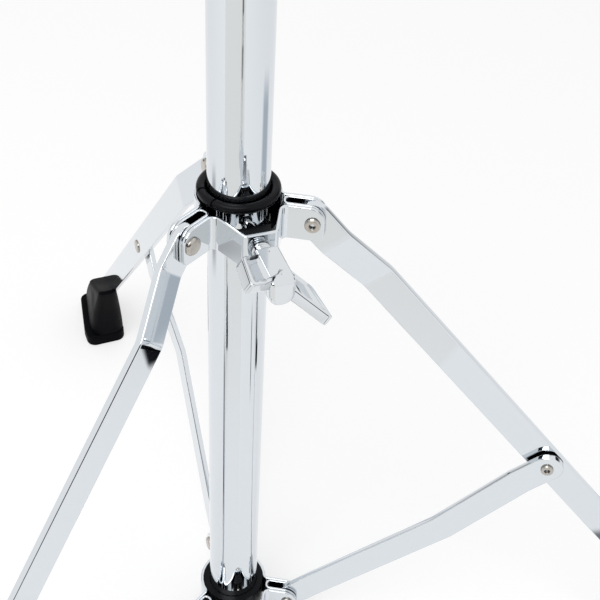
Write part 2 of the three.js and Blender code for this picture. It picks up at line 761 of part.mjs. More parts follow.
// Fixed and sliding collars with their rivets
const stripNames = { right: 'front', left: 'left', back: 'right' };
const legs = Object.entries(legAzimuths);
const plateOuter = earGap / 2 + sheetThickness + seatGap;
legs.forEach(([side, azimuth]) => {
  const isFront = side === 'right';
  add(`collar_strip_${stripNames[side]}`, collarStrip(azimuth, hingeHeight, isFront), 'chrome');
  add(`lower_collar_strip_${stripNames[side]}`, collarStrip(azimuth, lowerHeight, isFront), 'chrome');
  add(`hinge_channel_${side}`, hingeChannel(azimuth, hingeHeight), 'chrome');
  add(`lower_hinge_channel_${side}`, hingeChannel(azimuth, lowerHeight), 'chrome');
  const pin = rivet(hingeRivetRadius, hingeRivetHead, hingeRivetRoll, -plateOuter, plateOuter);
  const at = (height) => spin(azimuth).multiply(shift(hingeRadius, -hingeShift, height));
  add(`leg_hinge_rivet_${side}`, place(at(hingeHeight), pin), 'zinc');
  add(`brace_hinge_rivet_${side}`, place(at(lowerHeight), pin), 'zinc');
});
add('collar_bush_ring', collarBush(), 'plastic');
add('lower_collar_bush', lowerBush(), 'plastic');

// Legs, braces, their washers and rivets, and the feet
const legLeft = legJoggle + legThickness / 2 + seatGap;
const braceRight = braceTopOffset - braceThickness / 2 - seatGap;
const washerRight = braceTopOffset + braceThickness / 2 + seatGap;
const washerLeft = washerRight + washerThickness;
legs.forEach(([side, azimuth]) => {
  add(`leg_${side}`, place(legFrame(azimuth), leg()), 'chrome');
  add(`brace_${side}`, place(braceFrame(azimuth), brace()), 'chrome');
  const joint = legFrame(azimuth).multiply(shift(linkLength, 0, 0));
  const pin = rivet(linkRivetRadius, linkRivetHead, linkRivetRoll, braceRight, legLeft);
  add(`leg_brace_rivet_${side}`, place(joint, pin), 'zinc');
  const washer = bar(washerRadius, washerRight, washerLeft)
    .subtract(bore(linkRivetRadius + boreFit, washerRight - overcut, washerLeft + overcut));
  add(`leg_brace_washer_${side}`, place(joint, place(sideways, washer)), 'plastic');
  add(`foot_${side}`, foot(azimuth), 'rubber');
});

// Screws and threaded blocks of the two collars
const frontAngle = facetAngle(legAzimuths.right);
add('collar_screw_nut', facetNut(frontAngle, hingeHeight), 'plastic');
add('lower_collar_nut', facetNut(frontAngle, lowerHeight), 'plastic');
add('collar_wing_screw', place(screwFrame(frontAngle, hingeHeight, facetDistance),
  wingScrew(baseTubeRadius + seatGap - facetDistance)), 'casting');
add('lower_collar_screw', place(screwFrame(frontAngle, lowerHeight, 0), lowScrew()), 'zinc');

// Tubes, the base tube's plug and the height clamps
add('base_tube', tube(baseTubeRadius, baseTubeWall, baseTubeBottom, baseTubeTop)
  .subtract(clampHole(baseTubeTop - bossDrop, screwRadius + slideFit)), 'chrome');
add('middle_tube', tube(middleRadius, middleWall, middleTop - middleLength, middleTop)
  .subtract(clampHole(middleTop - bossDrop, screwRadius + slideFit)), 'chrome');
add('upper_tube', tube(upperRadius, upperWall, upperTop - upperLength, upperTop), 'chrome');
add('base_tube_plug', tubePlug(), 'plastic');
addClamp('base', baseTubeRadius, baseTubeWall, baseTubeTop, middleRadius);
addClamp('middle', middleRadius, middleWall, middleTop, upperRadius);

// Tilter: lower half on the upper tube, upper half with the cymbal rod, bolted along X
const pivotHeight = upperTop + tilterSocketCap + tilterPivotRise;
const socketEnd = upperTop - tilterSocketHeight;
const neckHalf = tilterNeckWidth / 2;
const pivotBore = (x0, x1) => place(alongX(pivotHeight), bore(tilterBoltRadius + boreFit, x0, x1));
const lowerHalf = turned([
  [0, socketEnd], [tilterSocketRadius - clampEdge, socketEnd], [tilterSocketRadius, socketEnd + clampEdge],
  [tilterSocketRadius, upperTop], [neckHalf, upperTop + tilterSocketCap], [0, upperTop + tilterSocketCap],
])
  .add(block(-tilterDiscThickness, 0, -neckHalf, neckHalf, upperTop - tilterSocketCap / 2, pivotHeight))
  .add(place(alongX(pivotHeight), bar(tilterDiscRadius, -tilterDiscThickness, 0, tubeSides)))
  .subtract(block(0, 2 * tilterDiscRadius, -tilterDiscRadius, tilterDiscRadius,
    pivotHeight - tilterDiscRadius - tilterGap, pivotHeight + tilterDiscRadius))
  .subtract(bore(upperRadius + seatGap, socketEnd - overcut, upperTop + seatGap, innerSides))
  .subtract(pivotBore(-tilterDiscThickness - overcut, overcut));
add('tilter_lower_half', lowerHalf, 'casting');

const rodBase = pivotHeight + tilterDiscRadius + tilterGap;
const rodBossTop = rodBase + tilterRodBossHeight;
const upperHalf = place(alongX(pivotHeight), bar(tilterDiscRadius, tilterGap, tilterDiscThickness, tubeSides))
  .add(block(tilterGap, tilterDiscThickness, -neckHalf, neckHalf, pivotHeight, rodBase + tilterSocketCap))
  .add(turned([
    [0, rodBase], [tilterRodBoss, rodBase], [tilterRodBoss, rodBossTop - clampEdge],
    [tilterRodBoss - clampEdge, rodBossTop], [0, rodBossTop],
  ]))
  .subtract(bore(cymbalRodRadius + seatGap, rodBase + clampEdge, rodBossTop + overcut))
  .subtract(pivotBore(-overcut, tilterDiscThickness + overcut));
add('tilter_upper_half', upperHalf, 'casting');

const boltHead = -tilterDiscThickness - seatGap - tilterBoltHeadHeight;
const tilterBolt = bar(tilterBoltRadius, boltHead + overcut, tilterDiscThickness + tilterNutLength)
  .add(turned([
    [0, boltHead], [tilterBoltHead * tilterBoltCrownShare, boltHead],
    [tilterBoltHead, boltHead + tilterBoltHeadHeight / 2], [tilterBoltHead, boltHead + tilterBoltHeadHeight],
    [0, boltHead + tilterBoltHeadHeight],
  ]));
add('tilter_bolt', place(alongX(pivotHeight), tilterBolt), 'zinc');
add('tilter_wing_nut', place(alongX(pivotHeight).multiply(shift(0, 0, tilterDiscThickness + seatGap)),
  wingNut(tilterNutHub, tilterNutLength, tilterNutSpan, tilterNutLift, tilterNutThickness,
    tilterBoltRadius + boreFit)), 'casting');

// Cymbal seat: rod, cup washer, sleeve, two felts and the wing nut above them
const rodFoot = rodBase + clampEdge + seatGap;
add('cymbal_rod', bar(cymbalRodRadius, rodFoot, rodFoot + cymbalRodLength), 'zinc');
const cupBase = rodBossTop + seatRise;
const cupTop = cupBase + cupHubHeight;
add('cup_washer', turned([
  [0, cupBase], [cupHubRadius, cupBase], [cupHubRadius, cupTop - 2 * cupThickness],
  [cupRadius, cupTop - cupThickness], [cupRadius, cupTop], [0, cupTop],
], tubeSides).subtract(bore(cymbalRodRadius + boreFit, cupBase - overcut, cupTop + overcut)), 'chrome');
const sleeveBase = cupTop + seatGap;
const lowerFeltBase = sleeveBase + sleeveFlangeHeight + seatGap;
const upperFeltBase = lowerFeltBase + feltThickness + cymbalThickness + feltSlack;
const sleeveTop = upperFeltBase + feltThickness + topNutGap;
add('cymbal_sleeve', bar(sleeveRadius, sleeveBase, sleeveTop)
  .add(bar(sleeveFlange, sleeveBase, sleeveBase + sleeveFlangeHeight))
  .subtract(bore(cymbalRodRadius + slideFit, sleeveBase - overcut, sleeveTop + overcut)), 'plastic');
add('lower_felt', felt(lowerFeltBase), 'felt');
add('upper_felt', felt(upperFeltBase), 'felt');
add('top_wing_nut', place(shift(0, 0, sleeveTop + seatGap),
  wingNut(topNutHub, topNutLength, topNutSpan, topNutLift, topNutThickness, cymbalRodRadius + boreFit)), 'casting');

// The object stands on z = 0 with its box centred on the origin
const box = new THREE.Box3().setFromObject(group);
const centre = box.getCenter(new THREE.Vector3());
group.children.forEach((node) => node.geometry.translate(-centre.x, -centre.y, -box.min.z));

export default group;
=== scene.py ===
import json
import math

import bmesh
import bpy
from mathutils import Matrix, Vector, noise

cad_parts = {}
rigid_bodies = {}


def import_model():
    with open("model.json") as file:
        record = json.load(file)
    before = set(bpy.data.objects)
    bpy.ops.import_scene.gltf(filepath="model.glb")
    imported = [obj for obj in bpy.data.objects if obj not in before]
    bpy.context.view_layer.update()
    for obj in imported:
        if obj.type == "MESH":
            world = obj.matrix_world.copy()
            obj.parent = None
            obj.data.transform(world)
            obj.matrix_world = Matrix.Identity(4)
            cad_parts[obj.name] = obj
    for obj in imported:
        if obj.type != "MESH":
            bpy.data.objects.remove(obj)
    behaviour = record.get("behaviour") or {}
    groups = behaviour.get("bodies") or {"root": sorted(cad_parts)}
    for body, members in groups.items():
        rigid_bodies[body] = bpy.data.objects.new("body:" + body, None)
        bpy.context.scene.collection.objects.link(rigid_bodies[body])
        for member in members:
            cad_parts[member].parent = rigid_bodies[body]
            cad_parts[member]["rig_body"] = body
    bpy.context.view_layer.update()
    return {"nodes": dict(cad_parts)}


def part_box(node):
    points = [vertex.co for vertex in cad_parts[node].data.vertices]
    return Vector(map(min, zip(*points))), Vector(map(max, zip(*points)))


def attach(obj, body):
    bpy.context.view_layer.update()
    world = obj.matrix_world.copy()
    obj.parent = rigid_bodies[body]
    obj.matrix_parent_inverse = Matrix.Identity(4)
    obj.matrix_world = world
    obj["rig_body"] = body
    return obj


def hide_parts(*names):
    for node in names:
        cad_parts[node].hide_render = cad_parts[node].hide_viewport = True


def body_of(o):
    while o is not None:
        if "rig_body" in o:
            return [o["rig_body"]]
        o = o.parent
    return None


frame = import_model()
nodes = frame["nodes"]

# Where things are. Shapes are drawn in millimetres, azimuths are degrees from +X.

MM = 0.001
LEG_AZIMUTHS = {"right": -30.0, "left": 210.0, "back": 90.0}
LEG_SPACING = 120

tube_low, tube_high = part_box("base_tube")
AXIS = Vector(((tube_low.x + tube_high.x) / 2, (tube_low.y + tube_high.y) / 2, 0.0))


def mid_height(node):
    low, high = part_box(node)
    return (low.z + high.z) / 2


HINGE = AXIS + Vector((0, 0, mid_height("collar_strip_left")))
LOWER = AXIS + Vector((0, 0, mid_height("lower_collar_strip_left")))

# Camera, solved from the photo's straight edges

CAMERA_AZIMUTH = -24.04
CAMERA_ELEVATION = 40.91
CAMERA_ROLL = 3.59
CAMERA_FROM_HINGE = Vector((-122.9, -341.9, 266.7)) * MM
LENS = 66.94
SENSOR_WIDTH = 36
CLIP_START = 0.01


def make_camera():
    a = math.radians(CAMERA_AZIMUTH)
    e = math.radians(CAMERA_ELEVATION)
    roll = math.radians(CAMERA_ROLL)
    back = Vector((math.sin(a) * math.cos(e), -math.cos(a) * math.cos(e), math.sin(e)))
    right = Vector((math.cos(a), math.sin(a), 0))
    up = back.cross(right)
    turned_right = right * math.cos(roll) + up * math.sin(roll)
    turned_up = up * math.cos(roll) - right * math.sin(roll)
    data = bpy.data.cameras.new("camera")
    data.lens = LENS
    data.sensor_width = SENSOR_WIDTH
    data.clip_start = CLIP_START
    camera = bpy.data.objects.new("camera", data)
    bpy.context.scene.collection.objects.link(camera)
    rotation = Matrix((turned_right, turned_up, back)).transposed().to_4x4()
    camera.matrix_world = Matrix.Translation(HINGE + CAMERA_FROM_HINGE) @ rotation
    bpy.context.scene.camera = camera


class Nodes:
    """Builds a material's or world's node tree with short calls."""

    def __init__(self, tree):
        self.tree = tree

    def add(self, kind, inputs=None, **settings):
        node = self.tree.nodes.new(kind)
        for key, value in settings.items():
            setattr(node, key, value)
        for key, value in (inputs or {}).items():
            self.put(node.inputs[key], value)
        return node

    def put(self, socket, value):
        if isinstance(value, bpy.types.NodeSocket):
            self.tree.links.new(value, socket)
        else:
            socket.default_value = value

    def math(self, operation, a, b=0.0, clamp=False):
        node = self.add("ShaderNodeMath", operation=operation, use_clamp=clamp)
        self.put(node.inputs[0], a)
        self.put(node.inputs[1], b)
        return node.outputs[0]

    def ramp(self, value, low, high, to_low, to_high):
        node = self.add("ShaderNodeMapRange", interpolation_type="SMOOTHSTEP")
        for socket, number in zip(node.inputs, (value, low, high, to_low, to_high)):
            self.put(socket, number)
        return node.outputs[0]

    def noise(self, scale, detail, roughness, vector):
        inputs = {"Scale": scale, "Detail": detail, "Roughness": roughness, "Vector": vector}
        return self.add("ShaderNodeTexNoise", inputs).outputs["Fac"]

    def mix(self, factor, a, b):
        node = self.add("ShaderNodeMix", data_type="RGBA")
        self.put(node.inputs["Factor"], factor)
        self.put(node.inputs[6], a)
        self.put(node.inputs[7], b)
        return node.outputs[2]

    def place(self, output="Object"):
        return self.add("ShaderNodeTexCoord").outputs[output]

    def background_rays(self):
        path = self.add("ShaderNodeLightPath")
        seen = self.math("ADD", path.outputs["Is Camera Ray"], path.outputs["Is Glossy Ray"])
        return self.math("ADD", seen, path.outputs["Is Transmission Ray"], clamp=True)


def new_material(name):
    material = bpy.data.materials.new(name)
    material.use_nodes = True
    material.node_tree.nodes.clear()
    tree = Nodes(material.node_tree)
    output = tree.add("ShaderNodeOutputMaterial")
    return material, tree, output


def opaque(color):
    return (*color, 1)


# Light, floor and the dark cards that polished metal needs round it

WORLD_FILL = 0.62
WHITE = (1, 1, 1, 1)
FLOOR_SIZE = 40.0
FLOOR_PAINT = (0.86, 0.86, 0.86, 1)
FLOOR_SEEN = (0.5, 0.5, 0.5, 1)
FLOOR_GLOW_NEAR = 0.56
FLOOR_GLOW_FAR = 0.7
FLOOR_GLOW_FROM = 1.5
FLOOR_GLOW_TO = 7.0
FLAG_STEPS = 12
PATCH_STEPS = 10
PATCH_LIFT = 0.001
PATCH_END_SOFT = 0.3
COOL = 1.04


def make_world():
    """White all round, its light on dull surfaces held back."""
    world = bpy.data.worlds.new("studio")
    bpy.context.scene.world = world
    world.use_nodes = True
    world.node_tree.nodes.clear()
    tree = Nodes(world.node_tree)
    strength = tree.ramp(tree.background_rays(), 0.0, 1.0, WORLD_FILL, 1.0)
    shade = tree.add("ShaderNodeBackground", {"Color": WHITE, "Strength": strength})
    output = tree.add("ShaderNodeOutputWorld")
    tree.put(output.inputs["Surface"], shade.outputs[0])


def make_floor():
    """Pale floor that shows the object's shadow and fades into the white background far out."""
    mesh = bpy.data.meshes.new("floor")
    half = FLOOR_SIZE / 2
    corners = [(-half, -half, 0), (half, -half, 0), (half, half, 0), (-half, half, 0)]
    mesh.from_pydata(corners, [], [(0, 1, 2, 3)])
    floor = bpy.data.objects.new("floor", mesh)
    bpy.context.scene.collection.objects.link(floor)
    material, tree, output = new_material("floor")
    plain = tree.add("ShaderNodeBsdfDiffuse", {"Color": FLOOR_PAINT})
    shaded = tree.add("ShaderNodeBsdfDiffuse", {"Color": FLOOR_SEEN})
    distance = tree.add("ShaderNodeVectorMath", {0: tree.place()}, operation="LENGTH").outputs["Value"]
    paler = tree.ramp(distance, FLOOR_GLOW_FROM, FLOOR_GLOW_TO, FLOOR_GLOW_NEAR, FLOOR_GLOW_FAR)
    glow = tree.add("ShaderNodeEmission", {"Color": WHITE, "Strength": paler})
    seen = tree.add("ShaderNodeAddShader")
    tree.put(seen.inputs[0], shaded.outputs[0])
    tree.put(seen.inputs[1], glow.outputs[0])
    mixed = tree.add("ShaderNodeMixShader", {
        0: tree.background_rays(), 1: plain.outputs[0], 2: seen.outputs[0],
    })
    tree.put(output.inputs["Surface"], mixed.outputs[0])
    mesh.materials.append(material)


def make_card(name, rows, color, strength, across, along):
    """A soft-edged card that only the polished metal sees, as a studio uses round chrome; lying on the floor
    it is a painted reflection.
    across and along give the share of the card that fades at its first and last side."""
    mesh = bpy.data.meshes.new(name)
    count = len(rows[0])
    faces = []
    for i in range(len(rows) - 1):
        for k in range(count - 1):
            faces.append((i * count + k, (i + 1) * count + k, (i + 1) * count + k + 1, i * count + k + 1))
    mesh.from_pydata([spot for row in rows for spot in row], [], faces)
    uv = mesh.uv_layers.new(name="card")
    for loop in mesh.loops:
        row, column = divmod(loop.vertex_index, count)
        uv.data[loop.index].uv = (row / (len(rows) - 1), column / (count - 1))
    card = bpy.data.objects.new(name, mesh)
    bpy.context.scene.collection.objects.link(card)
    card.visible_camera = False
    card.visible_diffuse = False
    card.visible_shadow = False
    card.visible_volume_scatter = False
    material, tree, output = new_material(name)
    parts = tree.add("ShaderNodeSeparateXYZ", {"Vector": tree.place("UV")})
    cover = strength
    for axis, (first, last) in (("X", across), ("Y", along)):
        spot = parts.outputs[axis]
        rise = tree.ramp(spot, 0.0, first, 0.0, 1.0)
        fall = tree.ramp(spot, 1 - last, 1.0, 1.0, 0.0)
        cover = tree.math("MULTIPLY", cover, tree.math("MULTIPLY", rise, fall))
    clear = tree.add("ShaderNodeBsdfTransparent")
    dark = tree.add("ShaderNodeEmission", {"Color": opaque(color), "Strength": 1.0})
    mixed = tree.add("ShaderNodeMixShader", {0: cover, 1: clear.outputs[0], 2: dark.outputs[0]})
    tree.put(output.inputs["Surface"], mixed.outputs[0])
    mesh.materials.append(material)


def round_the_axis(azimuth, reach, height):
    """Point in metres, at an azimuth in radians and a distance from the tube's axis."""
    return (AXIS.x + reach * math.cos(azimuth), AXIS.y + reach * math.sin(azimuth), height)


def make_flag(name, azimuth, width, low, high, distance, shade, side_soft=0.3, low_soft=0.3, high_soft=0.3):
    """A standing card, curved round the stand between two heights."""
    half = math.radians(width) / 2
    rows = []
    for i in range(FLAG_STEPS + 1):
        angle = math.radians(azimuth) - half + 2 * half * i / FLAG_STEPS
        rows.append([round_the_axis(angle, distance, height) for height in (low, high)])
    color = (shade, shade, shade * COOL)
    make_card(name, rows, color, 1.0, (side_soft, side_soft), (low_soft, high_soft))


def make_painted_reflection(name, azimuth, near, far, near_width, far_width, color, strength, side_soft):
    """A card lying on the floor, between two distances; widths are angles seen from the tube. It is a painted
    reflection: only the polished metal sees it, as a dark or tinted streak.
    """
    rows = []
    for i in range(PATCH_STEPS + 1):
        share = i / PATCH_STEPS
        reach = near + (far - near) * share
        half = math.radians(near_width + (far_width - near_width) * share) / 2
        row = []
        for k in range(PATCH_STEPS + 1):
            angle = math.radians(azimuth) + half * (2 * k / PATCH_STEPS - 1)
            row.append(round_the_axis(angle, reach, PATCH_LIFT))
        rows.append(row)
    make_card(name, rows, color, strength, (PATCH_END_SOFT, PATCH_END_SOFT), (side_soft, side_soft))


def make_lamp(name, spot, target, size, power):
    data = bpy.data.lights.new(name, "AREA")
    data.shape = "SQUARE"
    data.size = size
    data.energy = power
    lamp = bpy.data.objects.new(name, data)
    bpy.context.scene.collection.objects.link(lamp)
    lamp.location = spot
    lamp.rotation_euler = (Vector(target) - Vector(spot)).to_track_quat("-Z", "Y").to_euler()


# Materials

# Painted shade for metal: ambient occlusion within this reach darkens the colour towards a near-black in
# crevices and between parts.
PAINTED_SHADE_REACH = 6 * MM
PAINTED_SHADE_COLOUR = (0.006, 0.006, 0.007, 1)
PAINTED_SHADE_OPENING = (0.12, 0.62)
PAINTED_SHADE_SAMPLES = 8
PLATING_BUMP = 0.0004
PLATING_SPECKLE = 0.985
MOULD_BUMP = 0.0003
DUST_GAIN = 1.7
DUST_LIFT = 0.001
FIBRE_BUMP = 0.0008
FIBRE_DARK = 0.6
FIBRE_PALE = 1.9


def metal(name, color, roughness, wave, smudge, painted_crevice_shade):
    """Plated metal: slightly wavy under the plating, faint smudges in its gloss, and painted shade in its
    crevices, where ambient occlusion darkens its colour.
    """
    material, tree, output = new_material(name)
    where = tree.place()
    broad = tree.noise(scale=14.0, detail=2.0, roughness=0.45, vector=where)
    fine = tree.noise(scale=160.0, detail=3.0, roughness=0.55, vector=where)
    haze = tree.ramp(broad, 0.35, 0.75, roughness, roughness + smudge)
    plate = tree.mix(fine, opaque([c * PLATING_SPECKLE for c in color]), opaque(color))
    # Painted shade: the colour darkens in crevices and between parts, where ambient occlusion finds close
    # surfaces.
    occlusion = tree.add("ShaderNodeAmbientOcclusion", {"Distance": PAINTED_SHADE_REACH}, samples=PAINTED_SHADE_SAMPLES)
    lit = tree.ramp(occlusion.outputs["AO"], *PAINTED_SHADE_OPENING, 1.0 - painted_crevice_shade, 1.0)
    tint = tree.mix(lit, PAINTED_SHADE_COLOUR, plate)
    bump = tree.add("ShaderNodeBump", {"Strength": wave, "Distance": PLATING_BUMP, "Height": broad})
    shader = tree.add("ShaderNodeBsdfPrincipled", {
        "Base Color": tint, "Metallic": 1.0, "Roughness": haze, "Normal": bump.outputs[0],
    })
    tree.put(output.inputs["Surface"], shader.outputs[0])
    return material


def rubber(name, color, roughness, grain, depth, shine):
    """Moulded rubber or plastic: fine grain, slight dust in the colour, uneven gloss."""
    material, tree, output = new_material(name)
    where = tree.place()
    pores = tree.noise(scale=grain, detail=4.0, roughness=0.6, vector=where)
    cloud = tree.noise(scale=38.0, detail=3.0, roughness=0.5, vector=where)
    dusty = opaque([c * DUST_GAIN + DUST_LIFT for c in color])
    tint = tree.mix(tree.ramp(cloud, 0.35, 0.7, 0.0, 1.0), opaque(color), dusty)
    gloss = tree.ramp(cloud, 0.3, 0.7, roughness - 0.06, roughness + 0.08)
    bump = tree.add("ShaderNodeBump", {"Strength": depth, "Distance": MOULD_BUMP, "Height": pores})
    shader = tree.add("ShaderNodeBsdfPrincipled", {
        "Base Color": tint, "Roughness": gloss, "Specular IOR Level": shine, "Normal": bump.outputs[0],
    })
    tree.put(output.inputs["Surface"], shader.outputs[0])
    return material


def felt_material(name, color):
    """Pressed wool: mottled fibres with a soft sheen."""
    material, tree, output = new_material(name)
    where = tree.place()
    fibres = tree.noise(scale=900.0, detail=6.0, roughness=0.7, vector=where)
    tufts = tree.noise(scale=120.0, detail=4.0, roughness=0.6, vector=where)
    mottled = tree.ramp(tree.math("MULTIPLY", fibres, tufts), 0.12, 0.42, 0.0, 1.0)
    tint = tree.mix(mottled, opaque([c * FIBRE_DARK for c in color]), opaque([c * FIBRE_PALE for c in color]))
    bump = tree.add("ShaderNodeBump", {"Strength": 0.9, "Distance": FIBRE_BUMP, "Height": fibres})
    shader = tree.add("ShaderNodeBsdfPrincipled", {
        "Base Color": tint, "Roughness": 0.95, "Sheen Weight": 0.5, "Sheen Roughness": 0.5,
        "Normal": bump.outputs[0],
    })
    tree.put(output.inputs["Surface"], shader.outputs[0])
    return material


# Each metal's last number sets how far painted shade darkens its crevices.
LOOKS = {
    "chrome": metal(
        "chrome", (0.70, 0.735, 0.77), roughness=0.03, wave=0.06, smudge=0.03, painted_crevice_shade=1.0),
    "casting": metal(
        "cast_chrome", (0.71, 0.735, 0.76), roughness=0.05, wave=0.14, smudge=0.05, painted_crevice_shade=0.9),
    "zinc": metal(
        "zinc_steel", (0.50, 0.47, 0.43), roughness=0.2, wave=0.2, smudge=0.12, painted_crevice_shade=0.8),
    "plastic": rubber(
        "black_plastic", (0.0018, 0.002, 0.003), roughness=0.28, grain=900.0, depth=0.12, shine=0.12),
    "rubber": rubber(
        "black_rubber", (0.0012, 0.0013, 0.002), roughness=0.45, grain=600.0, depth=0.2, shine=0.03),
    "felt": felt_material("felt", (0.02, 0.021, 0.024)),
}

# Dressing of the CAD pieces

SMOOTH_ANGLE = math.radians(31)
WELD_REACH = 0.01 * MM
BEVEL_SEGMENTS = 3


def make_even_shading():
    """Node group that welds a CAD node's facets and shades them evenly, sharp only at real edges."""
    group = bpy.data.node_groups.new("even_shading", "GeometryNodeTree")
    group.interface.new_socket("Geometry", in_out="INPUT", socket_type="NodeSocketGeometry")
    group.interface.new_socket("Geometry", in_out="OUTPUT", socket_type="NodeSocketGeometry")
    tree = Nodes(group)
    start = tree.add("NodeGroupInput")
    weld = tree.add("GeometryNodeMergeByDistance", {"Geometry": start.outputs[0], "Distance": WELD_REACH})
    angle = tree.add("GeometryNodeInputMeshEdgeAngle").outputs["Unsigned Angle"]
    sharp = tree.math("GREATER_THAN", angle, SMOOTH_ANGLE)
    even = tree.add("GeometryNodeSetMeshNormal", {
        "Mesh": weld.outputs[0], "Remove Custom": True, "Edge Sharpness": sharp, "Face Sharpness": False,
    }, mode="SHARPNESS")
    end = tree.add("NodeGroupOutput")
    tree.put(end.inputs[0], even.outputs[0])
    return group


EVEN_SHADING = make_even_shading()


def flatten(piece):
    """Keeps flat faces flat in the shading next to softened edges."""
    weighted = piece.modifiers.new("flat_faces", "WEIGHTED_NORMAL")
    weighted.keep_sharp = True


def dress(node, edge):
    """Gives a CAD node its material, softened edges and even shading, with its shape kept."""
    piece = nodes[node]
    look = piece.material_slots[0].name
    piece.data.materials.clear()
    piece.data.materials.append(LOOKS[look])
    even = piece.modifiers.new("even_shading", "NODES")
    even.node_group = EVEN_SHADING
    bevel = piece.modifiers.new("edges", "BEVEL")
    bevel.width = edge
    bevel.segments = BEVEL_SEGMENTS
    bevel.limit_method = "ANGLE"
    bevel.angle_limit = SMOOTH_ANGLE
    flatten(piece)


# Shapes, in millimetres: each is a list of points and a list of faces

NEAR_ZERO = 1e-6


def fillet(points, radii, closed=False, steps=8):
    """Replaces the corners of a flat path by arcs."""
    out = []
    count = len(points)
    for i, point in enumerate(points):
        here = Vector(point)
        radius = radii[i] if isinstance(radii, (list, tuple)) else radii
        if radius == 0 or (not closed and i in (0, count - 1)):
            out.append(here)
            continue
        before = (Vector(points[i - 1]) - here).normalized()
        after = (Vector(points[(i + 1) % count]) - here).normalized()
        half = before.angle(after) / 2
        centre = here + (before + after).normalized() * radius / math.sin(half)
        start = here + before * radius / math.tan(half) - centre
        turn = math.pi - 2 * half
        sign = 1 if after.x * before.y - after.y * before.x > 0 else -1
        for k in range(steps + 1):
            out.append(centre + Matrix.Rotation(sign * turn * k / steps, 2) @ start)
    return out


def turned(profile, steps=96, closed=False, sweep=None):
    """Surface of revolution about Z from (radius, height) points, whole or over a sweep in degrees."""
    verts, rows, faces = [], [], []
    start, end = sweep or (0, 360)
    columns = steps + 1 if sweep else steps
    for radius, height in profile:
        if radius < NEAR_ZERO:
            rows.append([len(verts)])
            verts.append((0, 0, height))
            continue
        rows.append(list(range(len(verts), len(verts) + columns)))
        for k in range(columns):
            angle = math.radians(start + (end - start) * k / steps)
            verts.append((radius * math.cos(angle), radius * math.sin(angle), height))
    for low, high in zip(rows, rows[1:] + (rows[:1] if closed else [])):
        for k in range(steps):
            n = k + 1 if sweep else (k + 1) % steps
            quad = [row[i % len(row)] for row, i in ((low, k), (low, n), (high, n), (high, k))]
            corners = list(dict.fromkeys(quad))
            if len(corners) > 2:
                faces.append(corners)
    if sweep:
        faces.append([row[0] for row in rows])
        faces.append([row[-1] for row in rows])
    return verts, faces


def lofted(rings):
    """Skin over rings with one count of points, closed by the first and the last ring."""
    count = len(rings[0])
    faces = []
    for i in range(len(rings) - 1):
        for k in range(count):
            n = (k + 1) % count
            faces.append((i * count + k, i * count + n, (i + 1) * count + n, (i + 1) * count + k))
    faces.append(list(range(count)))
    faces.append(list(range((len(rings) - 1) * count, len(rings) * count)))
    return [spot for ring in rings for spot in ring], faces


THREAD_CORE = 3.35
THREAD_CREST = 3.98
THREAD_PITCH = 1.25
THREAD_STEEPNESS = 1.3
THREAD_ROWS = 8


def thread(low, high, columns=40):
    """Screw thread along Z between two heights."""
    rows = math.ceil((high - low) / THREAD_PITCH * THREAD_ROWS)
    rings = []
    for i in range(rows + 1):
        z = low + (high - low) * i / rows
        ring = []
        for k in range(columns):
            phase = (z / THREAD_PITCH - k / columns) % 1
            rise = min(1, THREAD_STEEPNESS * (1 - abs(2 * phase - 1)))
            radius = THREAD_CORE + (THREAD_CREST - THREAD_CORE) * rise
            angle = 2 * math.pi * k / columns
            ring.append((radius * math.cos(angle), radius * math.sin(angle), z))
        rings.append(ring)
    return lofted(rings)


def cut(distance, radius):
    """How far a rounded corner draws an outline in, at a distance from its end."""
    if distance >= radius:
        return 0.0
    return radius - math.sqrt(radius ** 2 - (radius - max(distance, 0)) ** 2)


END_STEPS = 8
EDGE_STEPS = 3
STATION_DIGITS = 4
STATION_GRAIN = 1e-3
LEAST_SOFT = 0.02


def strip_stations(spots, radii):
    """Distances along a strip at which its section is drawn: its bends, and close steps at both ends."""
    total = spots[-1]
    stations = {round(spot, STATION_DIGITS) for spot in spots}
    for radius in radii:
        for k in range(END_STEPS + 1):
            near = radius * (1 - math.cos(math.pi / 2 * k / END_STEPS))
            stations.add(round(near, STATION_DIGITS))
            stations.add(round(total - near, STATION_DIGITS))
    return sorted(stations)


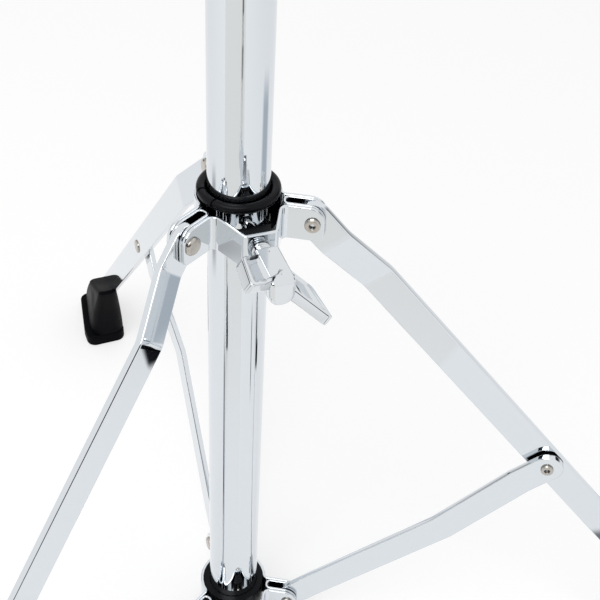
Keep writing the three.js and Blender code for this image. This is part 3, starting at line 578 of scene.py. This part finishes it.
def strip(path, thickness, half_height, edge, first_end, last_end):
    """Bar or sheet strip on edge along a flat path, its edges softened,
    each end rounded by a lower and an upper radius."""
    spots = [0.0]
    for a, b in zip(path, path[1:]):
        spots.append(spots[-1] + (b - a).length)
    total = spots[-1]
    (first_low, first_high), (last_low, last_high) = first_end, last_end
    rings = []
    for s in strip_stations(spots, (*first_end, *last_end, edge)):
        later = [k for k, spot in enumerate(spots) if spot > s + STATION_GRAIN]
        i = (later[0] if later else len(spots) - 1) - 1
        i = max(0, min(len(spots) - 2, i))
        a, b = path[i], path[i + 1]
        along = (b - a).normalized()
        if abs(s - spots[i]) < STATION_GRAIN and i > 0:
            along = (along + (a - path[i - 1]).normalized()).normalized()
        point = a + (b - a) * (s - spots[i]) / (spots[i + 1] - spots[i])
        normal = Vector((-along.y, along.x))
        draw = max(cut(s, edge), cut(total - s, edge))
        low = -half_height + max(cut(s, first_low), cut(total - s, last_low)) + draw
        high = half_height - max(cut(s, first_high), cut(total - s, last_high)) - draw
        soft = max(min(edge - draw, (high - low) / 2), LEAST_SOFT)
        side = thickness / 2 - draw - soft
        if high - low < 2 * soft:
            middle = (high + low) / 2
            low, high = middle - soft, middle + soft
        ring = []
        corners = ((1, high - soft), (-1, high - soft), (-1, low + soft), (1, low + soft))
        for quarter, (sign, z) in enumerate(corners):
            for k in range(EDGE_STEPS + 1):
                angle = math.pi / 2 * (quarter + k / EDGE_STEPS)
                spot = point + normal * (sign * side + soft * math.cos(angle))
                ring.append((spot.x, spot.y, z + soft * math.sin(angle)))
        rings.append(ring)
    return lofted(rings)


def merged(*shapes):
    verts, faces = [], []
    for more, more_faces in shapes:
        faces += [[i + len(verts) for i in face] for face in more_faces]
        verts += more
    return verts, faces


def spin(degrees):
    return Matrix.Rotation(math.radians(degrees), 4, "Z")


def shift(x, y, z):
    return Matrix.Translation(Vector((x, y, z)) * MM)


# Pieces

done = set()


def new_piece(name, shape, look, matrix):
    """Makes a mesh piece of a shape in mm, placed by a matrix in metres."""
    mesh = bpy.data.meshes.new(name)
    verts, faces = shape
    mesh.from_pydata([matrix @ (Vector(v) * MM) for v in verts], [], faces)
    shell = bmesh.new()
    shell.from_mesh(mesh)
    bmesh.ops.recalc_face_normals(shell, faces=shell.faces)
    shell.to_mesh(mesh)
    shell.free()
    mesh.shade_smooth()
    mesh.set_sharp_from_angle(angle=SMOOTH_ANGLE)
    mesh.materials.append(LOOKS[look])
    piece = bpy.data.objects.new(name, mesh)
    bpy.context.scene.collection.objects.link(piece)
    flatten(piece)
    return piece


def stand_in(node, shape, matrix):
    """A smooth piece in the place of a CAD node, on its body and with its finish."""
    look = nodes[node].material_slots[0].name
    piece = new_piece(f"{node}_smooth", shape, look, matrix)
    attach(piece, body_of(nodes[node])[0])
    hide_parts(node)
    done.add(node)
    return piece


# Tripod

HINGE_RADIUS = 30.9
HINGE_SHIFT = 1.2
LEG_SLOPE = math.radians(47.8)
LEG_LENGTH = 345
LINK_LENGTH = LEG_LENGTH * 0.5055
LEG_WIDTH = 15.2
LEG_THICKNESS = 3.2
LEG_JOGGLE = 6.93
LEG_BEND_START = 13.7
LEG_BEND_END = 41.5
LEG_TIP_ROUND = 3.2
BRACE_WIDTH = 15
BRACE_THICKNESS = 3
BRACE_BOW = 2.84
BRACE_BEND_START = 18
BRACE_BOW_AT = 110
BRACE_BEND_END = 158
WASHER = 1.1
BRACE_TOP = LEG_JOGGLE - LEG_THICKNESS / 2 - WASHER - BRACE_THICKNESS / 2
BAR_EDGE = 0.55
BAR_BEND = 14
BAR_ROUND_SHARE = 0.98
SHEET = 1.6
SHEET_EDGE = 0.5
COLLAR_HEIGHT = 15.8
CHANNEL_SHEET = 1.25
CHANNEL_EDGE = 0.4
CHANNEL_GAP = 3.5
CHANNEL_WEB = 18.1
CHANNEL_BEND = 1.9
EAR_PLAY = 0.1
EAR_GAP = CHANNEL_GAP + 2 * CHANNEL_SHEET + EAR_PLAY
EAR_PLATE = (EAR_GAP + SHEET) / 2
EAR_TIP = 35.7
EAR_ENDS = (2.5, 7)
EAR_BEND_RADIUS = 18
EAR_BEND = 3.3
WRAP_RADIUS = 17
WRAP_STEPS = 8
WRAP_START_BEND = 2.2
WRAP_BEND = 4.0
FACET_DISTANCE = 29.4
FACET_HALF = 6.35
FACET_TURN = -2
FACET_BEND = 1.7


def bar_frame(origin, azimuth, slope):
    tilt = Matrix.Rotation(slope, 4, "Y")
    return Matrix.Translation(origin) @ spin(azimuth) @ shift(HINGE_RADIUS, -HINGE_SHIFT, 0) @ tilt


def leg_shape():
    half = LEG_WIDTH / 2
    path = [(-half, 0), (LEG_BEND_START, 0), (LEG_BEND_END, LEG_JOGGLE), (LEG_LENGTH, LEG_JOGGLE)]
    round_end = half * BAR_ROUND_SHARE
    top, foot = (round_end, round_end), (LEG_TIP_ROUND, LEG_TIP_ROUND)
    return strip(fillet(path, BAR_BEND), LEG_THICKNESS, half, BAR_EDGE, top, foot)


def brace_shape():
    half = BRACE_WIDTH / 2
    path = [
        (-half, 0), (BRACE_BEND_START, 0), (BRACE_BOW_AT, -BRACE_BOW), (BRACE_BEND_END, BRACE_TOP),
        (LINK_LENGTH + half, BRACE_TOP),
    ]
    end = (half * BAR_ROUND_SHARE, half * BAR_ROUND_SHARE)
    return strip(fillet(path, BAR_BEND), BRACE_THICKNESS, half, BAR_EDGE, end, end)


def collar_shape(azimuth, front):
    """Sheet strip between the leg at an azimuth and the next one clockwise."""
    other = azimuth - LEG_SPACING
    middle = math.radians(azimuth - LEG_SPACING / 2 + FACET_TURN)

    def ear(at, outward, side):
        return (spin(at) @ Vector((outward, side * EAR_PLATE - HINGE_SHIFT, 0))).xy

    def corner(side):
        face = FACET_DISTANCE - SHEET / 2
        return Vector((
            face * math.cos(middle) - side * FACET_HALF * math.sin(middle),
            face * math.sin(middle) + side * FACET_HALF * math.cos(middle),
        ))

    if front:
        between = [ear(azimuth, EAR_BEND_RADIUS, -1), corner(1), corner(-1), ear(other, EAR_BEND_RADIUS, 1)]
        bends = [EAR_BEND, FACET_BEND, FACET_BEND, EAR_BEND]
    else:
        start = math.radians(azimuth) + math.asin((-EAR_PLATE - HINGE_SHIFT) / WRAP_RADIUS)
        end = math.radians(other) + math.asin((EAR_PLATE - HINGE_SHIFT) / WRAP_RADIUS)
        angles = [start + (end - start) * i / WRAP_STEPS for i in range(WRAP_STEPS + 1)]
        between = [Vector((WRAP_RADIUS * math.cos(a), WRAP_RADIUS * math.sin(a))) for a in angles]
        bends = [WRAP_START_BEND] + [WRAP_BEND] * (WRAP_STEPS - 1) + [WRAP_START_BEND]
    path = fillet([ear(azimuth, EAR_TIP, -1), *between, ear(other, EAR_TIP, 1)], [0, *bends, 0])
    return strip(path, SHEET, COLLAR_HEIGHT / 2, SHEET_EDGE, EAR_ENDS, EAR_ENDS)


def channel_shape():
    """U-shaped sheet between a collar's ears, round the end of a bar."""
    plate = (CHANNEL_GAP + CHANNEL_SHEET) / 2
    web = CHANNEL_WEB + CHANNEL_SHEET / 2
    path = fillet([(EAR_TIP, -plate), (web, -plate), (web, plate), (EAR_TIP, plate)], CHANNEL_BEND)
    return strip(path, CHANNEL_SHEET, COLLAR_HEIGHT / 2, CHANNEL_EDGE, EAR_ENDS, EAR_ENDS)


RIVET_SEAT = 0.05
RIVET_STEPS = 48
HEAD_EDGE = 0.7
HEAD_SHOULDER_SHARE = 0.92
HEAD_SIDE_SHARE = 0.4
HEAD_BASE_SHARE = 0.3
ROLL_HEIGHT = 1.3
ROLL_LEAN = 0.2
RIVET_BORE = 1.3
RIVET_BORE_DEPTH = 3
ROLL_ROUNDS = (0, 0, 0.5, 0.6, 0.2, 0)


def rivet_shape(right, left, shank, head, roll, crown):
    """Rivet along Z: rolled hollow end below, low domed head above."""
    dome = fillet([
        (0, left + crown), (head - HEAD_EDGE, left + crown * HEAD_SHOULDER_SHARE),
        (head, left + crown * HEAD_SIDE_SHARE), (head, left),
    ], [0, HEAD_EDGE, crown * HEAD_BASE_SHARE, 0])
    end = right - ROLL_HEIGHT
    bottom = end + RIVET_BORE_DEPTH
    rim = fillet([
        (0, bottom), (RIVET_BORE, bottom), (RIVET_BORE, end), (roll - ROLL_LEAN, end), (roll, right),
        (shank, right),
    ], ROLL_ROUNDS)
    return turned([*rim, (shank, left), *reversed(dome)], RIVET_STEPS)


# Feet: the outlines are (outwards, sideways) from the end of the leg

FOOT_END = HINGE_RADIUS + LEG_LENGTH * math.cos(LEG_SLOPE)
SOLE_OUTLINE = ((-28.6, -6.5), (19.9, -6.5), (19.9, 14.4), (-16, 20), (-28.6, 20))
SOLE_ROUND = 6
NECK_OUTLINE = ((-28.6, -6.5), (19.2, -6.5), (19.2, 10.6), (-16, 15.9), (-28.6, 15.9))
NECK_ROUND = 8
TOP_OUTLINE = ((-41.2, -0.3), (-5.6, -2.4), (-5.6, 12), (-24, 12.5), (-41.2, 12))
TOP_ROUND = 4.5
TOP_INNER_HEIGHT = 58.6
TOP_OUTER_HEIGHT = 42.7
FLANGE_HEIGHT = 9
FOOT_SOFT = 1.6
FOOT_LIP = 2.4
FOOT_LEAST_ROUND = 0.8
FOOT_ROWS = 14
FOOT_ARC_STEPS = 5
NECK_CURVE = 1.3


def foot_outline(corners, radius, inset=0.0):
    middle = sum((Vector(corner) for corner in corners), Vector((0, 0))) / len(corners)
    shrunk = []
    for x, y in corners:
        shrunk.append((x + math.copysign(inset, middle.x - x), y + math.copysign(inset, middle.y - y)))
    return fillet(shrunk, max(radius - inset, FOOT_LEAST_ROUND), True)


def foot_top_height(x):
    inner, outer = TOP_OUTLINE[0][0], TOP_OUTLINE[1][0]
    share = (x - inner) / (outer - inner)
    return TOP_INNER_HEIGHT + (TOP_OUTER_HEIGHT - TOP_INNER_HEIGHT) * share


def foot_shape():
    """Moulded foot: flat sole, tread flange on its outer side, and a neck that leans to the bar's end."""
    arc = [math.pi / 2 * k / FOOT_ARC_STEPS for k in range(FOOT_ARC_STEPS + 1)]
    rings = []
    for a in arc:
        z = FOOT_SOFT * (1 - math.cos(a))
        outline = foot_outline(SOLE_OUTLINE, SOLE_ROUND, FOOT_SOFT * (1 - math.sin(a)))
        rings.append([(x, y, z) for x, y in outline])
    for a in arc:
        z = FLANGE_HEIGHT - FOOT_SOFT * (1 - math.sin(a))
        outline = foot_outline(SOLE_OUTLINE, SOLE_ROUND, FOOT_SOFT * (1 - math.cos(a)))
        rings.append([(x, y, z) for x, y in outline])
    neck, top = foot_outline(NECK_OUTLINE, NECK_ROUND), foot_outline(TOP_OUTLINE, TOP_ROUND)
    for i in range(FOOT_ROWS + 1):
        share = i / FOOT_ROWS
        lean = share ** NECK_CURVE
        ring = []
        for n, t in zip(neck, top):
            z = FLANGE_HEIGHT + (foot_top_height(t.x) - FOOT_LIP - FLANGE_HEIGHT) * share
            ring.append((n.x + (t.x - n.x) * lean, n.y + (t.y - n.y) * lean, z))
        rings.append(ring)
    for a in arc[1:]:
        outline = foot_outline(TOP_OUTLINE, TOP_ROUND, FOOT_LIP * (1 - math.cos(a)))
        rings.append([(x, y, foot_top_height(x) - FOOT_LIP * (1 - math.sin(a))) for x, y in outline])
    verts, faces = lofted(rings)
    lane = LEG_JOGGLE - HINGE_SHIFT
    return [(FOOT_END + x, lane + y, z) for x, y, z in verts], faces


SIDEWAYS = Matrix.Rotation(math.radians(-90), 4, "X")
STRIP_NAMES = {"right": "front", "left": "left", "back": "right"}
HINGE_RIVET = {"shank": 2.6, "head": 3.9, "roll": 3.3, "crown": 1.5}
LEG_RIVET = {"shank": 2.4, "head": 3.8, "roll": 3.0, "crown": 0.9}
ear_face = EAR_GAP / 2 + SHEET + RIVET_SEAT
brace_face = BRACE_TOP - BRACE_THICKNESS / 2 - RIVET_SEAT
leg_face = LEG_JOGGLE + LEG_THICKNESS / 2 + RIVET_SEAT

for side, azimuth in LEG_AZIMUTHS.items():
    for prefix, bar, origin in (("", "leg", HINGE), ("lower_", "brace", LOWER)):
        place = Matrix.Translation(origin)
        collar = collar_shape(azimuth, front=side == "right")
        stand_in(f"{prefix}collar_strip_{STRIP_NAMES[side]}", collar, place)
        turn = place @ spin(azimuth)
        stand_in(f"{prefix}hinge_channel_{side}", channel_shape(), turn @ shift(0, -HINGE_SHIFT, 0))
        rivet = rivet_shape(-ear_face, ear_face, **HINGE_RIVET)
        stand_in(f"{bar}_hinge_rivet_{side}", rivet, turn @ shift(HINGE_RADIUS, -HINGE_SHIFT, 0) @ SIDEWAYS)
    leg_place = bar_frame(HINGE, azimuth, LEG_SLOPE)
    stand_in(f"leg_{side}", leg_shape(), leg_place)
    stand_in(f"brace_{side}", brace_shape(), bar_frame(LOWER, azimuth, -LEG_SLOPE))
    rivet = rivet_shape(brace_face, leg_face, **LEG_RIVET)
    stand_in(f"leg_brace_rivet_{side}", rivet, leg_place @ shift(LINK_LENGTH, 0, 0) @ SIDEWAYS)
    stand_in(f"foot_{side}", foot_shape(), Matrix.Translation(AXIS) @ spin(azimuth))

# Collar ring and bush

RING_OUTER = 17
RING_INNER = 13
RING_HEIGHT = 4
RING_ROUND = 1.85
RING_BORE_ROUND = 0.3
RING_SEAT = 0.05
RING_STEPS = 720
RING_CRACKS = {176: 0.5, 212: 0.72}
CRACK_HALF = 0.45
BUSH_OUTER = 16.1
BUSH_LIP = 3.9
BUSH_OVERLAP = 0.1
BUSH_RISE = 0.5
BUSH_WALL_SWEEP = (35, 170)
BUSH_WALL_STEPS = 48


def ring_shape(seat):
    """Round ring over the bush, pinched at its cracks, which RING_CRACKS gives by azimuth and depth."""
    top = seat + RING_HEIGHT
    profile = fillet([
        (RING_INNER, seat), (RING_OUTER, seat), (RING_OUTER, top), (RING_INNER, top),
    ], [RING_BORE_ROUND, RING_ROUND, RING_ROUND, RING_ROUND], True)
    verts, faces = turned(profile, RING_STEPS, True)
    core = Vector(((RING_OUTER + RING_INNER) / 2, (seat + top) / 2))
    cracked = []
    for x, y, z in verts:
        radius, azimuth = math.hypot(x, y), math.degrees(math.atan2(y, x)) % 360
        for at, keep in RING_CRACKS.items():
            if abs(math.radians(azimuth - at)) * RING_OUTER < CRACK_HALF:
                radius = core.x + (radius - core.x) * keep
                z = core.y + (z - core.y) * keep
        angle = math.radians(azimuth)
        cracked.append((radius * math.cos(angle), radius * math.sin(angle), z))
    return cracked, faces


def bush_wall(low, high):
    return [(RING_INNER, low), (BUSH_OUTER, low), (BUSH_OUTER, high), (RING_INNER, high)]


def ring_and_bush():
    low = -COLLAR_HEIGHT / 2
    seat = COLLAR_HEIGHT / 2 + RING_SEAT
    lip = turned(bush_wall(low, low + BUSH_LIP), closed=True)
    back = bush_wall(low + BUSH_LIP - BUSH_OVERLAP, seat + BUSH_RISE)
    return merged(ring_shape(seat), lip, turned(back, BUSH_WALL_STEPS, True, BUSH_WALL_SWEEP))


stand_in("collar_bush_ring", ring_and_bush(), Matrix.Translation(HINGE))

# Tubes

TUBE_WALLS = {"base_tube": 1.5, "middle_tube": 1.2, "upper_tube": 1.2}
TUBE_LIP = 0.3
TUBE_LIP_STEPS = 3
TUBE_STEPS = 128


def centre_and_size(node):
    """Centre of a CAD node's box in metres, and its size in mm."""
    low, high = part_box(node)
    return (low + high) / 2, (high - low) / MM


for node, wall in TUBE_WALLS.items():
    centre, size = centre_and_size(node)
    outer, half = size.x / 2, size.z / 2
    inner = outer - wall
    corners = [(inner, -half), (outer, -half), (outer, half), (inner, half)]
    profile = fillet(corners, TUBE_LIP, True, TUBE_LIP_STEPS)
    stand_in(node, turned(profile, TUBE_STEPS, True), Matrix.Translation(centre))

# Wing screws

WING_TILT = 36.5
WING_SPAN = (3.0, 17.9, 20.5)
WING_REAR = (5.6, 15.8)
WING_FRONT = (23.0, 34.6)
WING_HALF = 2.4
WING_EDGE = 0.8
WING_EDGE_STEPS = 5
WING_CORNER = 2.5
WING_POCKET = 1.15
WING_RIM = 2.7
WING_WALL = 2.4
POCKET_SLOPE = 1.3
POCKET_REAR = (0.9, 2.0)
WING_GRID = 0.7
ROOT_ROUND = 7.0
ROOT_RISE = 4.0
ROOT_FADE = 2.5


def smooth(value, low, high):
    share = max(0.0, min(1.0, (value - low) / (high - low)))
    return share * share * (3 - 2 * share)


def wing_spacing(length, first_edge):
    """Distances across a wing, close together where its last edge, or both its edges, are rounded."""
    steps = range(WING_EDGE_STEPS + 1)
    fine = [WING_EDGE * (1 - math.cos(math.pi / 2 * k / WING_EDGE_STEPS)) for k in steps]
    start = WING_EDGE if first_edge else 0
    end = length - WING_EDGE
    count = round((end - start) / WING_GRID)
    middle = [start + (end - start) * k / count for k in range(1, count)]
    return (fine if first_edge else [0.0]) + middle + [length - f for f in reversed(fine)]


def rounded_corner(u, far, width, depth):
    """Moves a grid point of the wing's outer corners onto their round."""
    if u <= width - WING_CORNER or far <= depth - WING_CORNER:
        return u, far
    a, b = (u - width) / WING_CORNER + 1, (far - depth) / WING_CORNER + 1
    u = width - WING_CORNER + WING_CORNER * a * math.sqrt(1 - b * b / 2)
    far = depth - WING_CORNER + WING_CORNER * b * math.sqrt(1 - a * a / 2)
    return u, far


def wing_height(u, v, width, depth):
    """Half thickness of the wing: soft edges, a shallow pocket and a swell at its root."""
    edge = min(width - u, v, depth - v)
    pocket = smooth(width - u, WING_RIM, WING_RIM + POCKET_SLOPE)
    pocket *= smooth(depth - v, WING_WALL, WING_WALL + POCKET_SLOPE)
    pocket *= smooth(v, *POCKET_REAR)
    inward = max(ROOT_ROUND - u, 0)
    swell = ROOT_RISE / ROOT_ROUND * (ROOT_ROUND - math.sqrt(ROOT_ROUND ** 2 - inward ** 2))
    return WING_HALF - cut(edge, WING_EDGE) - WING_POCKET * pocket + swell * smooth(edge, 0, ROOT_FADE)


def wing_shape():
    """One wing along +X: thick rim and front wall round a shallow pocket on both faces."""
    root, rear_span, front_span = WING_SPAN
    width = (rear_span + front_span) / 2 - root
    depth = ((WING_FRONT[0] - WING_REAR[0]) + (WING_FRONT[1] - WING_REAR[1])) / 2
    along, across = wing_spacing(width, False), wing_spacing(depth, True)
    top = []
    for u in along:
        for v in across:
            p, q = rounded_corner(u, v, width, depth)
            if depth - v > depth / 2:
                p, far = rounded_corner(u, depth - v, width, depth)
                q = depth - far
            a, b = p / width, q / depth
            rear_z = WING_REAR[0] + (WING_REAR[1] - WING_REAR[0]) * a
            front_z = WING_FRONT[0] + (WING_FRONT[1] - WING_FRONT[0]) * a
            rear = Vector((root + (rear_span - root) * a, rear_z))
            front = Vector((root + (front_span - root) * a, front_z))
            spot = rear + (front - rear) * b
            top.append((spot.x, wing_height(u, v, width, depth), spot.y))
    count, rows = len(top), len(across)
    faces = []
    for i in range(len(along) - 1):
        for k in range(rows - 1):
            quad = (i * rows + k, i * rows + k + 1, (i + 1) * rows + k + 1, (i + 1) * rows + k)
            faces += [quad, tuple(count + j for j in reversed(quad))]
    last = (len(along) - 1) * rows
    border = [i * rows for i in range(len(along))] + [last + k for k in range(1, rows)]
    border += [i * rows + rows - 1 for i in range(len(along) - 2, -1, -1)]
    border += list(range(rows - 2, 0, -1))
    for a, b in zip(border, border[1:] + border[:1]):
        faces.append((a, b, count + b, count + a))
    return top + [(x, -y, z) for x, y, z in top], faces


HUB_START = 4.5
HUB_END = 26.3
HUB_REAR_EDGE = 1.3
HUB_FRONT_EDGE = 2.4
HUB_EDGE_STEPS = 6
HUB_ABOVE = 5.6
HUB_BELOW = 6.7
HUB_HALF = 5.3
HUB_TOP_ROUND = 1.8
HUB_LOW_ROUND = 5.1
HUB_LEAST_ROUND = 0.5


def hub_shape():
    """Hub of the wing screw: flat on top, round below, its ends rolled over."""
    fine = [math.pi / 2 * k / HUB_EDGE_STEPS for k in range(HUB_EDGE_STEPS + 1)]
    spots = [HUB_START + HUB_REAR_EDGE * (1 - math.cos(a)) for a in fine]
    spots += [HUB_END - HUB_FRONT_EDGE * (1 - math.cos(a)) for a in reversed(fine)]
    rings = []
    for z in spots:
        inset = max(cut(z - HUB_START, HUB_REAR_EDGE), cut(HUB_END - z, HUB_FRONT_EDGE))
        top, low, half = inset - HUB_ABOVE, HUB_BELOW - inset, HUB_HALF - inset
        top_round = max(HUB_TOP_ROUND - inset, HUB_LEAST_ROUND)
        low_round = max(HUB_LOW_ROUND - inset, HUB_LEAST_ROUND)
        corners = [(top, -half), (low, -half), (low, half), (top, half)]
        outline = fillet(corners, [top_round, low_round, low_round, top_round], True)
        rings.append([(x, y, z) for x, y in outline])
    return lofted(rings)


def rotated(shape, degrees):
    turn = spin(degrees)
    return [turn @ Vector(v) for v in shape[0]], shape[1]


POINT_RADIUS = 2.4
POINT_LENGTH = 2
SHANK_END = 5.5
SHANK_STEPS = 48
HEAD_THREAD = (-1.2, 4.8)


def wing_screw(node, azimuth, height, reach, tip):
    """Cast wing screw with its thread as a piece of its own; Z runs outwards along its axis."""
    out = Matrix.Rotation(math.radians(90), 4, "Y")
    seat = Matrix.Translation(Vector((AXIS.x, AXIS.y, height)))
    place = seat @ spin(azimuth) @ shift(reach, 0, 0) @ out
    wing = wing_shape()
    shoulder = tip + POINT_LENGTH
    shank = turned([
        (0, tip), (POINT_RADIUS, tip), (POINT_RADIUS, shoulder), (THREAD_CORE, shoulder),
        (THREAD_CORE, SHANK_END), (0, SHANK_END),
    ], SHANK_STEPS)
    wings = [rotated(wing, side - WING_TILT) for side in (90, 270)]
    stand_in(node, merged(hub_shape(), *wings, shank), place)
    screw = new_piece(f"{node}_thread", thread(*HEAD_THREAD), "casting", place)
    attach(screw, body_of(nodes[node])[0])


SCREW_AZIMUTH = -90
SCREW_DROP = 17
COLLAR_SCREW_TIP = 12.75
CLAMP_SCREWS = {
    "base_wing_screw": {"tube": "base_tube", "reach": 25.0, "tip": -13.75},
    "middle_wing_screw": {"tube": "middle_tube", "reach": 21.825, "tip": -13.45},
}

collar_azimuth = SCREW_AZIMUTH + FACET_TURN
wing_screw("collar_wing_screw", collar_azimuth, HINGE.z, FACET_DISTANCE, COLLAR_SCREW_TIP - FACET_DISTANCE)
for node, sizes in CLAMP_SCREWS.items():
    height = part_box(sizes["tube"])[1].z - SCREW_DROP * MM
    wing_screw(node, SCREW_AZIMUTH, height, sizes["reach"], sizes["tip"])

# Cymbal rod

ROD_RADIUS = 4
ROD_BASE_ROUND = 0.4
ROD_STEP_ROUND = 0.3
ROD_STEP = 0.8
ROD_TIP = 1.5
ROD_TIP_ROUND = 0.9
ROD_STEPS = 48
ROD_THREAD_COLUMNS = 36
THREAD_TUCK = 0.4
THREAD_SHORT = 1.2
PLAIN_SHARE = 0.38

centre, size = centre_and_size("cymbal_rod")
half = size.z / 2
plain_end = -half + PLAIN_SHARE * size.z
step_top = plain_end + ROD_STEP
plain = fillet([
    (0, -half), (ROD_RADIUS, -half), (ROD_RADIUS, plain_end), (THREAD_CORE, step_top), (0, step_top),
], [0, ROD_BASE_ROUND, ROD_STEP_ROUND, 0, 0])
tip = fillet([(THREAD_CORE, half - ROD_TIP), (THREAD_CORE, half), (0, half)], [0, ROD_TIP_ROUND, 0])
stand_in("cymbal_rod", merged(
    turned(plain, ROD_STEPS),
    thread(plain_end + THREAD_TUCK, half - THREAD_SHORT, ROD_THREAD_COLUMNS),
    turned([(0, half - ROD_TIP), *tip], ROD_STEPS),
), Matrix.Translation(centre))

# Felts

FELT_NAP = 0.22
FELT_CROWN = 3.2
FELT_CROWN_STEPS = 10
FELT_BORE = 6.15
FELT_BORE_ROUND = 0.6
FELT_GRID = 0.9
FELT_STEPS = 180
FELT_PLAIN = 1
NAP_SCALE = 0.55
NAP_FINE_SCALE = 1.7
NAP_FINE_SHARE = 0.6
NAP_LEVEL = 1.2
FELT_SEED_STEP = 7.0


def felt_shape(radius, height, seed):
    """Pressed felt ring with crowned edges and an uneven nap, which stays inside its size."""
    corners = [(FELT_BORE, 0), (radius, 0), (radius, height), (FELT_BORE, height)]
    rounds = [FELT_BORE_ROUND, FELT_CROWN, FELT_CROWN, FELT_BORE_ROUND]
    profile = fillet(corners, rounds, True, FELT_CROWN_STEPS)
    fine = []
    for a, b in zip(profile, profile[1:] + profile[:1]):
        parts = max(1, round((b - a).length / FELT_GRID))
        fine += [a + (b - a) * k / parts for k in range(parts)]
    verts, faces = turned(fine, FELT_STEPS, True)
    ruffled = []
    for x, y, z in verts:
        spot = Vector((x, y, z))
        if math.hypot(x, y) > FELT_BORE + FELT_PLAIN:
            rise = noise.noise(spot * NAP_SCALE + Vector((seed, 0, 0)))
            rise += NAP_FINE_SHARE * noise.noise(spot * NAP_FINE_SCALE)
            spot += Vector((x, y, 0)).normalized() * FELT_NAP * (rise - NAP_LEVEL)
        ruffled.append(spot)
    return ruffled, faces


for number, node in enumerate(("lower_felt", "upper_felt")):
    low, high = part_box(node)
    base = Vector(((low.x + high.x) / 2, (low.y + high.y) / 2, low.z))
    radius, height = (high.x - low.x) / 2 / MM, (high.z - low.z) / MM
    pad = stand_in(node, felt_shape(radius, height, FELT_SEED_STEP * number), Matrix.Translation(base))

# Castings and small parts keep their CAD shape

EDGES = {"casting": 0.6 * MM, "plastic": 0.3 * MM, "chrome": 0.3 * MM, "zinc": 0.4 * MM}
for name, piece in nodes.items():
    if name not in done:
        dress(name, EDGES[piece.material_slots[0].name])

# Scene

LAMP_FROM_HINGE = Vector((-0.9, -0.9, 1.7))
LAMP_SIZE = 1.4
LAMP_POWER = 22

bpy.context.scene.view_settings.view_transform = "Standard"
make_camera()
make_world()
make_floor()
make_flag(
    "flag_front", azimuth=234, width=96, low=0.5, high=1.75, distance=2.0, shade=0.015,
    side_soft=0.1, low_soft=0.1, high_soft=0.2)
make_flag("flag_right", azimuth=10, width=40, low=0.0, high=1.6, distance=2.4, shade=0.03)
make_flag("flag_rear", azimuth=120, width=36, low=0.0, high=1.6, distance=2.4, shade=0.05)
# Painted reflections: floor cards that only the chrome sees, putting dark and tinted streaks into it in place
# of reflected shadows and surroundings.
make_painted_reflection(
    "lens", azimuth=257, near=0.34, far=1.7, near_width=12, far_width=3,
    color=(0.02, 0.02, 0.022), strength=0.95, side_soft=0.4)
make_painted_reflection(
    "notch", azimuth=-24.5, near=0.205, far=0.245, near_width=11, far_width=13,
    color=(0.008, 0.008, 0.01), strength=1.0, side_soft=0.1)
make_painted_reflection(
    "left_line", azimuth=202, near=0.05, far=0.27, near_width=6, far_width=5,
    color=(0.02, 0.021, 0.023), strength=1.0, side_soft=0.3)
make_painted_reflection(
    "right_line", azimuth=310, near=0.175, far=0.29, near_width=5, far_width=4,
    color=(0.12, 0.13, 0.14), strength=0.9, side_soft=0.35)
make_painted_reflection(
    "left_side", azimuth=152, near=0.3, far=0.47, near_width=34, far_width=30,
    color=(0.3, 0.31, 0.32), strength=0.75, side_soft=0.4)
make_painted_reflection(
    "warm_side", azimuth=233, near=0.06, far=1.3, near_width=70, far_width=66,
    color=(0.86, 0.83, 0.76), strength=0.55, side_soft=0.03)
make_painted_reflection(
    "right_side", azimuth=-11, near=0.34, far=0.64, near_width=40, far_width=34,
    color=(0.5, 0.55, 0.6), strength=1.0, side_soft=0.3)
make_lamp("key", HINGE + LAMP_FROM_HINGE, HINGE, LAMP_SIZE, LAMP_POWER)
